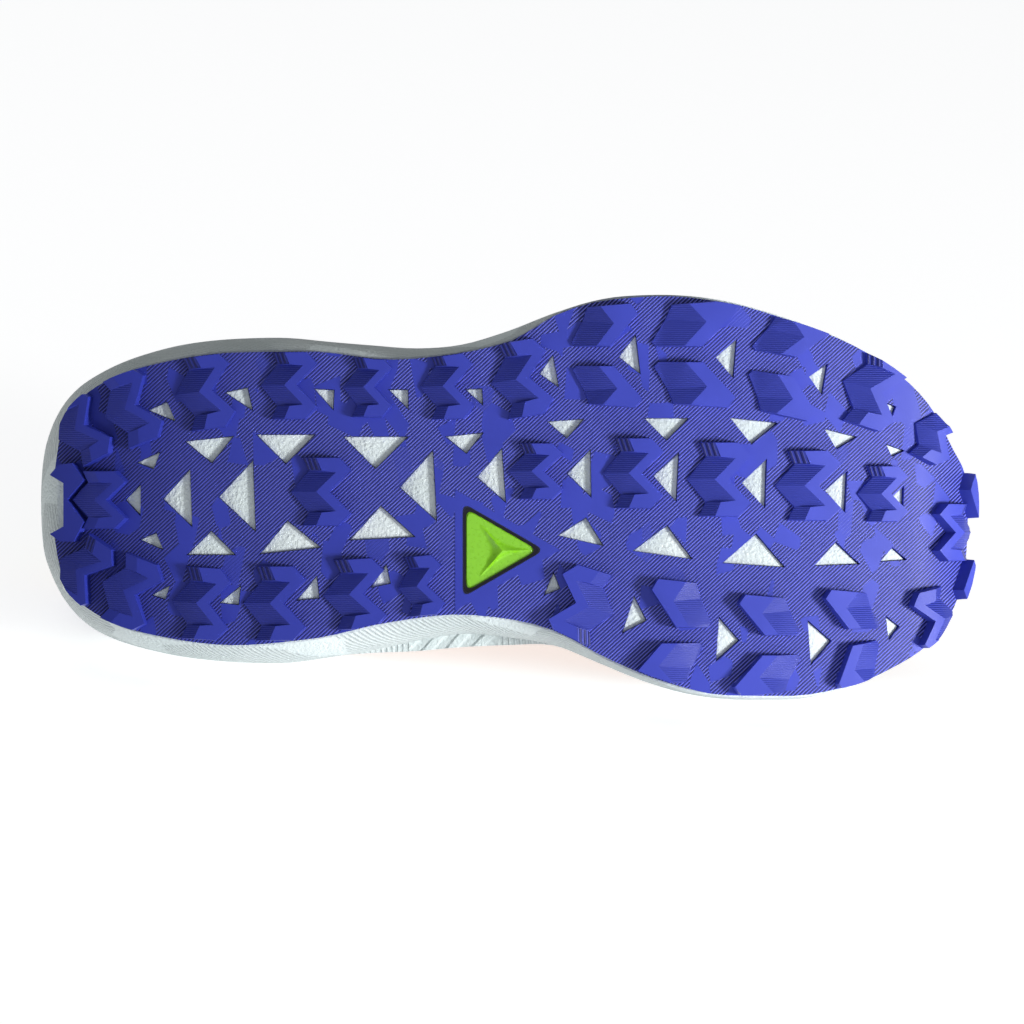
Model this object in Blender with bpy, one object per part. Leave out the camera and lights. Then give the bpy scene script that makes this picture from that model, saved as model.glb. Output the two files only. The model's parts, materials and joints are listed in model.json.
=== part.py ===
"""Trail running shoe, right foot, lying on its medial side with the sole turned to the viewer.

Everything is built standing in the shoe's own frame: X from heel to toe, +Y to the medial side,
+Z up, the tops of the lugs on z = 0.  The last step lays the whole shoe on its medial side.
"""

import math

import bmesh
import bpy
import numpy as np
from mathutils import Matrix, Vector

# Named sizes, metres.
SHOE_LENGTH = 0.300
HALF_WIDTH = 0.065          # unit of every across and width share below
SHEET = 0.0025              # outsole rubber between the lugs
LUG_HEIGHT = 0.0042
LUG_STEP = 0.0012           # low step round the foot of each lug
LUG_DRAFT = 0.0004
LUG_ROOT = 0.0018           # depth a lug runs into the sheet
LUG_EDGE = 0.0003           # lugs end this far inside the outsole edge
GAP = 0.0003                # clearance between pieces that lie on each other
EDGE_MARGIN = 0.0006        # midsole ground edge beyond the outsole edge
OUTSOLE_HEEL = 0.0035       # the outsole starts this far along X
OUTSOLE_TOE_INSET = 0.0032  # and ends this far from the toe
FLARE_TOE_INSET = 0.0015    # widest line of the midsole, from the toe
RIM_INSET = 0.0078          # midsole rim: inner top edge in from the widest line
CREST_DROP = 0.0004         # and this much lower
BED_INSET = 0.0086          # midsole rim: inner foot in from the widest line
BED_DEPTH = 0.0080          # footbed below the rim
WALL = 0.0020               # upper
SEAT = 0.0004               # upper edge above the footbed
LEAN_LIMIT = 0.0040         # the wall leaves the footbed outwards by no more than this
THROAT_END = 0.0006         # the throat is closed where its half width is less
OVERLAY = 0.0010
OVERLAY_GAP = 0.0003
INSOLE = 0.0040
INSOLE_CLEAR = 0.0006       # insole edge from the inside of the upper
INSOLE_SLOPE = 0.0034       # width of its raised edge
TONGUE_WING = 0.0026
TONGUE_MIDDLE = 0.0050
TONGUE_PAD = 0.0075         # thickness of the padded top end
TONGUE_GAP = 0.0012
LACE_WIDTH = 0.0050
LACE_THICK = 0.0016
LACE_GAP = 0.0009           # its middle face above the eyestay's, so that its flat edges stay clear
LACE_LAYER = 0.0002         # the crossing that lies on the other one is this much higher
LACE_RISE = 0.0006          # crossings lift off the throat edge by this
LACE_CROWN = 0.0022         # and over the middle of the tongue by this more
EYELET_RADIUS = 0.0022
TAB_WIDTH = 0.0120
TAB_THICK = 0.0024
TAB_GAP = 0.0004
TAB_RISE = 0.0140
TAB_LEAN = 0.0005
CUT_REACH = 0.0060          # half length of the eyelet cutters
WELD = 0.00002

# Shares of the shoe length where the ground line is flat, rocks and wraps.
FLAT_FROM = 0.17
FLAT_TO = 0.60
ROCKER_TO = 0.925
# How far the ground line has turned at the heel end, at the end of the rocker and at the toe.
HEEL_TURN = math.radians(25.6)
ROCKER_TURN = math.radians(21.6)
TOE_TURN = math.radians(64.7)
WINDOW_DEPTH_RATIO = 0.50   # window height over its base

FOLD_STEP = math.radians(4.0)   # the outsole is folded each time the ground line has turned this far
SEGMENTS = 32               # stations from heel to toe
ROWS = 7                    # rows of the upper from sole to collar

# Outline of the outsole: along its own length, lateral and medial half width.
OUTSOLE = (
    (0.000, -0.03, 0.03),
    (0.004, 0.21, 0.27),
    (0.013, 0.38, 0.41),
    (0.050, 0.55, 0.575),
    (0.100, 0.64, 0.66),
    (0.200, 0.71, 0.72),
    (0.280, 0.715, 0.69),
    (0.370, 0.675, 0.605),
    (0.440, 0.705, 0.57),
    (0.500, 0.77, 0.595),
    (0.545, 0.89, 0.65),
    (0.600, 0.965, 0.78),
    (0.665, 0.985, 0.90),
    (0.730, 0.955, 0.965),
    (0.800, 0.87, 0.97),
    (0.860, 0.77, 0.93),
    (0.920, 0.61, 0.82),
    (0.955, 0.455, 0.715),
    (0.982, 0.24, 0.55),
    (0.996, 0.12, 0.35),
    (1.000, -0.03, 0.03),
)

# Widest line of the midsole side: along, lateral and medial half width.
FLARE = (
    (0.000, -0.02, 0.02),
    (0.003, 0.21, 0.26),
    (0.012, 0.36, 0.39),
    (0.031, 0.51, 0.55),
    (0.063, 0.62, 0.67),
    (0.110, 0.71, 0.745),
    (0.180, 0.775, 0.80),
    (0.250, 0.79, 0.815),
    (0.330, 0.76, 0.775),
    (0.420, 0.735, 0.755),
    (0.480, 0.79, 0.73),
    (0.545, 0.90, 0.73),
    (0.600, 0.98, 0.815),
    (0.665, 1.00, 0.93),
    (0.730, 0.975, 0.99),
    (0.800, 0.90, 0.995),
    (0.860, 0.785, 0.945),
    (0.920, 0.62, 0.83),
    (0.955, 0.47, 0.725),
    (0.982, 0.25, 0.56),
    (0.996, 0.13, 0.36),
    (1.000, -0.03, 0.03),
)

# Top of the midsole rim: along, height as a share of the shoe length.
RIM = (
    (0.00, 0.158),
    (0.08, 0.152),
    (0.22, 0.143),
    (0.40, 0.128),
    (0.58, 0.121),
    (0.74, 0.127),
    (0.86, 0.146),
    (0.95, 0.168),
    (1.00, 0.182),
)

# Side of the midsole from ground edge to rim: share of the height, share of the flare, set in.
SIDE = (
    (0.00, 0.00, 0.0000),
    (0.10, 0.45, 0.0000),
    (0.34, 0.94, 0.0000),
    (0.60, 1.00, 0.0000),
    (0.65, 1.00, 0.0012),
    (0.88, 1.00, 0.0042),
    (1.00, 1.00, 0.0057),
)
ARCH_FROM = 0.30            # hollow in the medial side under the arch
ARCH_TO = 0.60
ARCH_DEPTH = 0.45           # share of the flare taken out there
INSOLE_BOWL = 0.75          # thickness of the insole inside its raised edge, as a share

# Sections of the upper, one row each round the foot.  along: place on the sole edge;
# top, centre, half, height: the collar, eyestay or ridge line above it; rise, lean: the pull
# of the wall off the sole; spread, drop: its pull into the top line.
UPPER = (
    # along  top    centre  half   height  rise   lean   spread drop
    (0.000, 0.044, 0.000, 0.000, 0.352, 0.42, 0.30, 0.55, 0.38),
    (0.012, 0.050, 0.000, 0.160, 0.350, 0.42, 0.25, 0.52, 0.38),
    (0.050, 0.076, 0.000, 0.320, 0.336, 0.40, 0.15, 0.40, 0.36),
    (0.110, 0.124, 0.000, 0.420, 0.312, 0.38, 0.05, 0.28, 0.34),
    (0.190, 0.195, 0.005, 0.460, 0.292, 0.36, 0.02, 0.22, 0.32),
    (0.270, 0.268, 0.010, 0.485, 0.302, 0.36, 0.02, 0.24, 0.32),
    (0.350, 0.340, 0.010, 0.440, 0.345, 0.38, 0.03, 0.28, 0.30),
    (0.420, 0.400, 0.010, 0.345, 0.376, 0.40, 0.03, 0.38, 0.26),
    (0.500, 0.470, 0.020, 0.285, 0.350, 0.42, 0.04, 0.48, 0.19),
    (0.580, 0.545, 0.035, 0.235, 0.316, 0.44, 0.05, 0.56, 0.12),
    (0.650, 0.610, 0.055, 0.185, 0.286, 0.46, 0.04, 0.60, 0.07),
    (0.690, 0.640, 0.065, 0.110, 0.275, 0.48, 0.04, 0.62, 0.04),
    (0.720, 0.655, 0.070, 0.000, 0.270, 0.50, 0.04, 0.62, 0.02),
    (0.800, 0.715, 0.085, 0.000, 0.252, 0.54, 0.03, 0.64, 0.00),
    (0.880, 0.785, 0.105, 0.000, 0.240, 0.58, 0.02, 0.66, 0.00),
    (0.950, 0.850, 0.130, 0.000, 0.232, 0.62, 0.02, 0.66, 0.00),
    (1.000, 0.895, 0.150, 0.000, 0.226, 0.66, 0.02, 0.66, 0.00),
)

# Outlines of the lugs, rear to front and across, and how far the top sits back from the foot.
CHEVRON = ((0.00, 0.00), (0.22, -0.50), (0.80, -0.50), (1.00, -0.32),
           (0.66, 0.00), (1.00, 0.32), (0.80, 0.50), (0.22, 0.50))
CHEVRON_RAMP = (0.36, 0.20, 0.00, 0.00, 0.00, 0.00, 0.00, 0.20)
BLADE = ((0.00, 0.10), (0.24, 0.92), (0.90, 1.00), (1.00, 0.78), (0.60, 0.00), (0.05, 0.00))
BLADE_RAMP = (0.32, 0.22, 0.00, 0.00, 0.00, 0.30)
NUB = ((0.00, -0.20), (0.35, -0.50), (1.00, 0.00), (0.35, 0.50), (0.00, 0.20))
NUB_RAMP = (0.10, 0.05, 0.00, 0.05, 0.10)

# Chevron lugs: along, across, length, width, turn in degrees.
CHEVRONS = (
    # middle row
    (0.065, 0.01, 0.058, 0.29, 0),
    (0.297, -0.03, 0.066, 0.34, 0),
    (0.524, -0.13, 0.060, 0.28, 0),
    (0.627, -0.12, 0.065, 0.35, 0),
    (0.717, -0.09, 0.068, 0.37, 0),
    (0.811, -0.06, 0.069, 0.35, 0),
    (0.891, -0.02, 0.052, 0.28, 0),
    # lateral edge
    (0.044, -0.34, 0.052, 0.36, -28),
    (0.096, -0.44, 0.056, 0.38, -22),
    (0.173, -0.52, 0.063, 0.38, -8),
    (0.263, -0.55, 0.062, 0.34, 0),
    (0.346, -0.54, 0.054, 0.30, 0),
    (0.430, -0.545, 0.058, 0.33, -2),
    (0.508, -0.58, 0.065, 0.38, -9),
    (0.880, -0.53, 0.064, 0.38, 18),
    (0.948, -0.32, 0.046, 0.30, 28),
    # medial edge
    (0.045, 0.36, 0.052, 0.36, 34),
    (0.095, 0.46, 0.060, 0.36, 22),
    (0.170, 0.515, 0.063, 0.36, 4),
    (0.248, 0.515, 0.068, 0.37, 0),
    (0.332, 0.47, 0.068, 0.35, -3),
    (0.402, 0.43, 0.050, 0.30, -6),
    (0.576, 0.525, 0.066, 0.37, 197),
    (0.950, 0.60, 0.048, 0.32, 165),
    # toe
    (0.970, 0.17, 0.046, 0.29, 180),
)

# Blades, the two halves of a split chevron: along, across of the split side, length, width
# with its sign pointing away from the split, turn.
BLADES = (
    (0.597, -0.735, 0.071, -0.216, 0),
    (0.600, -0.647, 0.075, 0.210, 0),
    (0.691, -0.735, 0.090, -0.230, 0),
    (0.692, -0.667, 0.087, 0.230, 0),
    (0.791, -0.690, 0.080, -0.200, 10),
    (0.787, -0.605, 0.076, 0.215, 8),
    (0.678, 0.637, 0.065, 0.245, 180),
    (0.664, 0.705, 0.077, -0.216, 180),
    (0.771, 0.676, 0.069, 0.206, 180),
    (0.769, 0.765, 0.074, -0.206, 180),
    (0.859, 0.647, 0.063, 0.200, 180),
    (0.862, 0.715, 0.055, -0.230, 170),
)

# Small lugs at the back of the heel and on the toe front: along, across, length, width, turn.
NUBS = (
    (0.029, -0.09, 0.030, 0.17, 0),
    (0.031, 0.12, 0.030, 0.17, 0),
    (0.984, -0.06, 0.016, 0.22, 180),
    (0.976, 0.44, 0.018, 0.22, 180),
)

# Windows in the outsole: along, across of the base, base, direction it points to.
WINDOWS = (
    # heel
    (0.114, -0.20, 0.55, 66),
    (0.128, -0.40, 0.63, -68),
    (0.179, -0.29, 1.01, 84),
    (0.210, -0.47, 0.69, -57),
    (0.260, -0.31, 1.20, 90),
    (0.106, 0.01, 0.66, 180),
    (0.160, 0.00, 1.18, 178),
    (0.227, -0.01, 1.46, 178),
    (0.117, 0.23, 0.55, -67),
    (0.181, 0.28, 1.00, -90),
    (0.127, 0.45, 0.45, 63),
    (0.201, 0.47, 0.57, 51),
    (0.265, 0.26, 1.25, -96),
    # waist
    (0.300, -0.48, 0.59, -42),
    (0.355, -0.30, 1.32, 90),
    (0.379, -0.48, 0.58, -45),
    (0.418, -0.06, 1.44, 177),
    (0.449, -0.31, 0.79, 84),
    (0.459, -0.49, 0.50, -48),
    (0.491, -0.11, 1.11, 176),
    (0.362, 0.20, 1.34, -93),
    (0.282, 0.44, 0.67, 39),
    (0.358, 0.38, 0.59, 33),
    # forefoot, lateral
    (0.546, -0.62, 0.69, 170),
    (0.633, -0.70, 0.81, 173),
    (0.736, -0.68, 0.80, 185),
    (0.832, -0.58, 0.66, 190),
    (0.899, -0.43, 0.41, -23),
    (0.556, -0.38, 0.76, 86),
    (0.663, -0.39, 0.92, 90),
    (0.756, -0.38, 0.98, 96),
    (0.849, -0.32, 0.70, 104),
    (0.908, -0.25, 0.42, 110),
    # forefoot, middle
    (0.583, -0.12, 0.98, 179),
    (0.675, -0.10, 1.00, 183),
    (0.769, -0.07, 1.00, 182),
    (0.855, -0.03, 0.86, 183),
    (0.917, 0.00, 0.50, 182),
    # forefoot, medial
    (0.572, 0.21, 0.96, -77),
    (0.659, 0.28, 1.22, -82),
    (0.756, 0.33, 1.28, -86),
    (0.845, 0.33, 0.94, -92),
    (0.906, 0.31, 0.56, -94),
    (0.538, 0.42, 0.52, 23),
    (0.622, 0.57, 0.80, 18),
    (0.717, 0.69, 0.90, 4),
    (0.815, 0.71, 0.92, -4),
    (0.899, 0.64, 0.52, -7),
)
WINDOW_UNIT = 0.0159        # base of a window marked 1.00

# Badge on the sole: centre, size and corner cut of a triangle that points to the toe.
BADGE_ALONG = 0.487
BADGE_ACROSS = 0.255
BADGE_RADIUS = 0.0142       # centre to corner
BADGE_CORNER = 0.0022
BADGE_RING = 0.0011         # clearance of the badge in its recess
BADGE_SIDE = 0.0012         # height of its upright edge
BADGE_PEAK = 0.0024         # height of its middle

# Eyelets: along the sole edge, from the vamp to the top.
EYELETS = (0.655, 0.612, 0.568, 0.524, 0.480, 0.437)
EYELET_ROW = 6.35           # row of the upper they sit on
EYELET_SIDES = 6
LACE_NEAR = 0.25            # a crossing passes the throat edge this share of its way along

# The tongue above the top eyelet: distance up, share of its width and of the padded thickness.
TONGUE_TOP = ((0.007, 0.97, 0.60), (0.014, 0.93, 1.00), (0.019, 0.84, 0.90), (0.022, 0.70, 0.50))
TONGUE_WAY = (-0.62, 0.78)  # direction of its top end, along and up
TONGUE_CROWN = 0.22         # arch of the tongue over its half width, at the throat

# Edges of the overlays in side view: along and height, shares of the shoe length.
TOE_CAP_TRIM = ((0.66, 0.140), (0.76, 0.166), (0.86, 0.192), (0.93, 0.214), (0.97, 0.222), (1.05, 0.225))
COUNTER_TRIM = ((-0.05, 0.262), (0.10, 0.258), (0.17, 0.235), (0.24, 0.190), (0.31, 0.150))
EYESTAY_TRIM = ((0.375, 0.45), (0.395, 0.366), (0.420, 0.340), (0.470, 0.318), (0.560, 0.284),
                (0.640, 0.262), (0.690, 0.257), (0.780, 0.262), (0.780, 0.45))
RIM_CLEAR = 0.0010          # overlays end this far above the midsole rim
TOE_CAP_FROM = 0.70         # shares of the sole edge that the uncut layers reach
COUNTER_TO = 0.34
EYESTAY_FROM = 0.41
EYESTAY_TO = 0.84
TONGUE_FRONT = 0.79
TONGUE_TOP_AT = 0.43

DENSITY = {
    "outsole": 1150.0, "midsole": 210.0, "sole_badge": 1100.0, "insole": 180.0, "upper": 420.0,
    "tongue": 160.0, "toe_cap": 900.0, "heel_counter": 900.0, "eyestay": 800.0, "heel_tab": 800.0,
    "lace": 700.0,
}
COLOUR = {
    "outsole": (0.030, 0.040, 0.420), "midsole": (0.600, 0.650, 0.640), "sole_badge": (0.260, 0.620, 0.030),
    "insole": (0.030, 0.040, 0.060), "upper": (0.500, 0.190, 0.020), "tongue": (0.030, 0.050, 0.160),
    "toe_cap": (0.030, 0.045, 0.200), "heel_counter": (0.030, 0.045, 0.200),
    "eyestay": (0.030, 0.045, 0.200), "heel_tab": (0.260, 0.620, 0.030), "lace": (0.260, 0.620, 0.030),
}


# Small helpers.

def warp(along):
    """Even steps of this value crowd the stations at both ends of the shoe."""
    return math.acos(1.0 - 2.0 * min(max(along, 0.0), 1.0)) / math.pi


def unwarp(value):
    return (1.0 - math.cos(math.pi * value)) / 2.0


def read(rows, column, along):
    """Smooth value of a column at a share of the length, without overshoot between rows."""
    place = [warp(row[0]) for row in rows]
    value = [row[column] for row in rows]
    step = [b - a for a, b in zip(place, place[1:])]
    slope = [(b - a) / s for a, b, s in zip(value, value[1:], step)]
    tangent = [slope[0]]
    for left, right in zip(slope, slope[1:]):
        tangent.append(0.0 if left * right <= 0.0 else 2.0 * left * right / (left + right))
    tangent.append(slope[-1])
    at = warp(along)
    k = 0
    while k < len(step) - 1 and at > place[k + 1]:
        k += 1
    s = (at - place[k]) / step[k]
    return ((1 + 2 * s) * (1 - s) ** 2 * value[k] + s * (1 - s) ** 2 * step[k] * tangent[k]
            + s * s * (3 - 2 * s) * value[k + 1] - s * s * (1 - s) * step[k] * tangent[k + 1])


def mix(a, b, share):
    return a + (b - a) * share


def new_object(name, verts, faces, collection):
    mesh = bpy.data.meshes.new(name)
    mesh.from_pydata([tuple(v) for v in verts], [], faces)
    mesh.validate()
    mesh.update()
    obj = bpy.data.objects.new(name, mesh)
    collection.objects.link(obj)
    clean(obj)
    return obj


def clean(obj, triangulate=False):
    """Weld the mesh and turn its faces outwards."""
    bm = bmesh.new()
    bm.from_mesh(obj.data)
    bmesh.ops.remove_doubles(bm, verts=bm.verts, dist=WELD)
    bmesh.ops.dissolve_degenerate(bm, edges=bm.edges, dist=WELD)
    if triangulate:
        bmesh.ops.triangulate(bm, faces=bm.faces)
    bmesh.ops.recalc_face_normals(bm, faces=bm.faces)
    bm.to_mesh(obj.data)
    bm.free()
    obj.data.update()


def boolean(obj, cutter, operation):
    """Apply one exact Boolean and drop the cutter."""
    modifier = obj.modifiers.new("cut", "BOOLEAN")
    modifier.operation = operation
    modifier.solver = "EXACT"
    modifier.use_self = True
    modifier.object = cutter
    graph = bpy.context.evaluated_depsgraph_get()
    mesh = bpy.data.meshes.new_from_object(obj.evaluated_get(graph))
    obj.modifiers.remove(modifier)
    obj.data = mesh
    bpy.data.objects.remove(cutter, do_unlink=True)


def cutter_object(name, verts, faces):
    obj = new_object(name, verts, faces, CUTTERS)
    obj.display_type = "WIRE"
    obj.hide_render = True
    return obj


def prism(points, low, high):
    """Vertices and faces of a straight prism over a flat outline of x, y."""
    count = len(points)
    verts = [(x, y, low) for x, y in points] + [(x, y, high) for x, y in points]
    faces = [tuple(reversed(range(count))), tuple(range(count, 2 * count))]
    for i in range(count):
        j = (i + 1) % count
        faces.append((i, j, count + j, count + i))
    return verts, faces


# Ground line of the sole.

OUTSOLE_TOE = SHOE_LENGTH - OUTSOLE_TOE_INSET
FLARE_TOE = SHOE_LENGTH - FLARE_TOE_INSET
FLAT_START = FLAT_FROM * SHOE_LENGTH
FLAT_END = FLAT_TO * SHOE_LENGTH
ROCKER_END = ROCKER_TO * SHOE_LENGTH
HEEL_RADIUS = (FLAT_START - OUTSOLE_HEEL) / math.sin(HEEL_TURN)
ROCKER_RADIUS = (ROCKER_END - FLAT_END) / math.sin(ROCKER_TURN)
TOE_RADIUS = (OUTSOLE_TOE - ROCKER_END) / (math.sin(TOE_TURN) - math.sin(ROCKER_TURN))


def ground(x):
    """Height and slope of the outsole sheet's face at x."""
    if x < FLAT_START:
        angle = math.asin((FLAT_START - x) / HEEL_RADIUS)
        return LUG_HEIGHT + HEEL_RADIUS * (1.0 - math.cos(angle)), -angle
    if x <= FLAT_END:
        return LUG_HEIGHT, 0.0
    if x <= ROCKER_END:
        angle = math.asin((x - FLAT_END) / ROCKER_RADIUS)
        return LUG_HEIGHT + ROCKER_RADIUS * (1.0 - math.cos(angle)), angle
    height = LUG_HEIGHT + ROCKER_RADIUS * (1.0 - math.cos(ROCKER_TURN))
    angle = math.asin(math.sin(ROCKER_TURN) + (x - ROCKER_END) / TOE_RADIUS)
    return height + TOE_RADIUS * (math.cos(ROCKER_TURN) - math.cos(angle)), angle


STATIONS = [unwarp(i / SEGMENTS) for i in range(SEGMENTS + 1)]
SOLE_X = [mix(OUTSOLE_HEEL, OUTSOLE_TOE, a) for a in STATIONS]
SOLE_LINE = [ground(x) for x in SOLE_X]


def bend(x, y, depth):
    """Lay a point of the flat sole on the ground line; depth counts away from the foot."""
    k = 0
    while k < SEGMENTS - 1 and x > SOLE_X[k + 1]:
        k += 1
    share = (x - SOLE_X[k]) / (SOLE_X[k + 1] - SOLE_X[k])
    height = mix(SOLE_LINE[k][0], SOLE_LINE[k + 1][0], share)
    out_x = mix(math.sin(SOLE_LINE[k][1]), math.sin(SOLE_LINE[k + 1][1]), share)
    out_z = mix(-math.cos(SOLE_LINE[k][1]), -math.cos(SOLE_LINE[k + 1][1]), share)
    return Vector((x + out_x * depth, y, height + out_z * depth))


def both_sides(points_of):
    """One closed ring: heel, medial side, toe, lateral side."""
    ring = [points_of(i, 1) for i in range(SEGMENTS + 1)]
    ring += [points_of(i, -1) for i in range(SEGMENTS - 1, 0, -1)]
    return ring


def outsole_edge(i, side, grow=0.0):
    along = STATIONS[i]
    across = read(OUTSOLE, 2 if side > 0 else 1, along) * HALF_WIDTH * side
    return SOLE_X[i], across + grow * side


def flare_edge(i, side):
    along = STATIONS[i]
    return along * FLARE_TOE, read(FLARE, 2 if side > 0 else 1, along) * HALF_WIDTH * side


def inset(ring, distance):
    """Move a closed ring of x, y inwards along its own normals."""
    moved = []
    count = len(ring)
    for i in range(count):
        before = Vector(ring[i - 1])
        after = Vector(ring[(i + 1) % count])
        run = (after - before).normalized()
        moved.append((ring[i][0] - run.y * distance, ring[i][1] + run.x * distance))
    return moved


def signed_area(ring):
    return sum(a[0] * b[1] - b[0] * a[1] for a, b in zip(ring, ring[1:] + ring[:1])) / 2.0


def inward(ring, distance):
    return inset(ring, distance if signed_area(ring) > 0.0 else -distance)


# Outsole.

def lug(shape, ramp, row):
    """A lug as three stacked outlines: root, step and top, the rear of the top set back."""
    along, across, length, width, turn = row
    spin = Matrix.Rotation(math.radians(turn), 2)
    scale = Vector((length * SHOE_LENGTH, width * HALF_WIDTH))
    place = Vector((along * SHOE_LENGTH, across * HALF_WIDTH))
    foot = [Vector((u - 0.5, w)) * scale for u, w in shape]
    middle = sum(foot, Vector((0.0, 0.0))) / len(foot)
    top = []
    for point, set_back in zip(foot, ramp):
        raised = point + Vector((set_back * scale.x, 0.0))
        top.append(raised + (middle - raised).normalized() * LUG_DRAFT)
    verts = []
    for depth, outline in ((-LUG_ROOT, foot), (LUG_STEP, foot), (LUG_HEIGHT, top)):
        verts += [(*(place + spin @ point), depth) for point in outline]
    count = len(shape)
    faces = [tuple(reversed(range(count))), tuple(range(2 * count, 3 * count))]
    for level in (0, count):
        for i in range(count):
            j = (i + 1) % count
            faces.append((level + i, level + j, level + count + j, level + count + i))
    return verts, faces


def plan_point(along, across):
    return along * SHOE_LENGTH, across * HALF_WIDTH


def gather(pieces):
    verts = []
    faces = []
    for piece_verts, piece_faces in pieces:
        start = len(verts)
        verts += piece_verts
        faces += [tuple(start + i for i in face) for face in piece_faces]
    return verts, faces


def lug_pieces():
    pieces = [lug(CHEVRON, CHEVRON_RAMP, row) for row in CHEVRONS]
    pieces += [lug(BLADE, BLADE_RAMP, row) for row in BLADES]
    pieces += [lug(NUB, NUB_RAMP, row) for row in NUBS]
    return pieces


def triangle(centre, base, height, turn):
    """Three corners of a triangle on its base, pointing along the turn."""
    spin = Matrix.Rotation(math.radians(turn), 2)
    corners = (Vector((0.0, -base / 2.0)), Vector((height, 0.0)), Vector((0.0, base / 2.0)))
    return [(centre[0] + (spin @ c).x, centre[1] + (spin @ c).y) for c in corners]


def badge_outline(grow):
    """Triangle with cut corners that points to the toe."""
    points = []
    reach = BADGE_RADIUS + grow * 2.0
    third = 2.0 * math.pi / 3.0
    corners = [Vector((math.cos(k * third), math.sin(k * third))) * reach for k in range(3)]
    for i in range(3):
        before = (corners[i - 1] - corners[i]).normalized() * BADGE_CORNER
        after = (corners[(i + 1) % 3] - corners[i]).normalized() * BADGE_CORNER
        points += [corners[i] + before, corners[i] + after]
    centre = Vector(plan_point(BADGE_ALONG, BADGE_ACROSS))
    return [tuple(centre + p) for p in points]


def build_outsole():
    edge = both_sides(lambda i, side: outsole_edge(i, side))
    outsole = new_object("outsole", *prism(edge, -SHEET, 0.0), SHOE)
    holes = []
    for along, across, base, turn in WINDOWS:
        centre = plan_point(along, across)
        corners = triangle(centre, base * WINDOW_UNIT, base * WINDOW_UNIT * WINDOW_DEPTH_RATIO, turn)
        holes.append(prism(corners, -2.0 * SHEET, SHEET))
    holes.append(prism(badge_outline(BADGE_RING), -2.0 * SHEET, SHEET))
    boolean(outsole, cutter_object("window_cut", *gather(holes)), "DIFFERENCE")
    lugs = new_object("lugs", *gather(lug_pieces()), CUTTERS)
    clean(lugs, triangulate=True)
    trim = inward(edge, LUG_EDGE)
    boolean(lugs, cutter_object("edge_trim", *prism(trim, -SHEET, 2.0 * LUG_HEIGHT)), "INTERSECT")
    boolean(outsole, lugs, "UNION")
    bm = bmesh.new()
    bm.from_mesh(outsole.data)
    turned = 0.0
    for k, x in enumerate(SOLE_X[1:-1], start=1):
        turned += abs(SOLE_LINE[k][1] - SOLE_LINE[k - 1][1])
        leaves_flat = SOLE_LINE[k][1] == 0.0 and (SOLE_LINE[k - 1][1] != 0.0 or SOLE_LINE[k + 1][1] != 0.0)
        if turned > FOLD_STEP or leaves_flat:
            turned = 0.0
            every = bm.verts[:] + bm.edges[:] + bm.faces[:]
            bmesh.ops.bisect_plane(bm, geom=every, dist=0.000001, plane_co=(x, 0, 0), plane_no=(1, 0, 0))
    for vert in bm.verts:
        vert.co = bend(vert.co.x, vert.co.y, vert.co.z)
    bm.to_mesh(outsole.data)
    bm.free()
    clean(outsole, triangulate=True)


def build_badge():
    """Low pyramid that stands in its recess on the midsole."""
    outline = badge_outline(0.0)
    centre = plan_point(BADGE_ALONG, BADGE_ACROSS)
    count = len(outline)
    verts = [bend(x, y, -SHEET) for x, y in outline]
    verts += [bend(x, y, -SHEET + BADGE_SIDE) for x, y in outline]
    verts.append(bend(centre[0], centre[1], -SHEET + BADGE_PEAK))
    faces = [tuple(range(count))]
    for i in range(count):
        j = (i + 1) % count
        faces.append((i, j, count + j, count + i))
        faces.append((count + i, count + j, 2 * count))
    new_object("sole_badge", verts, faces, SHOE)


# Midsole.

def rim_height(i):
    return read(RIM, 1, STATIONS[i]) * SHOE_LENGTH


def arch(along):
    """Rises from nought to one and back over the arch."""
    share = (along - ARCH_FROM) / (ARCH_TO - ARCH_FROM)
    return math.sin(math.pi * share) ** 2 if 0.0 < share < 1.0 else 0.0


RING_STATION = list(range(SEGMENTS + 1)) + list(range(SEGMENTS - 1, 0, -1))
RING_SIDE = [1] * (SEGMENTS + 1) + [-1] * (SEGMENTS - 1)
RING = len(RING_STATION)


def bed_ring(extra):
    """The foot of the rim's inner wall, moved in by extra."""
    return inward(both_sides(flare_edge), BED_INSET + extra)


def bed_height(c):
    return rim_height(RING_STATION[c]) - BED_DEPTH


def stack(name, rings):
    """A solid from closed rings; the lid and floor are ladders from side to side."""
    verts = [v for ring in rings for v in ring]
    faces = []
    for level in range(len(rings) - 1):
        for c in range(RING):
            d = (c + 1) % RING
            a = level * RING
            b = a + RING
            faces.append((a + c, a + d, b + d))
            faces.append((a + c, b + d, b + c))
    for start in (0, (len(rings) - 1) * RING):
        for i in range(SEGMENTS):
            medial = (start + i, start + i + 1)
            lateral = (start + (RING - i) % RING, start + (RING - i - 1) % RING)
            quad = (medial[0], medial[1], lateral[1], lateral[0])
            faces.append(tuple(dict.fromkeys(quad)))
    new_object(name, verts, faces, SHOE)


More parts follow.
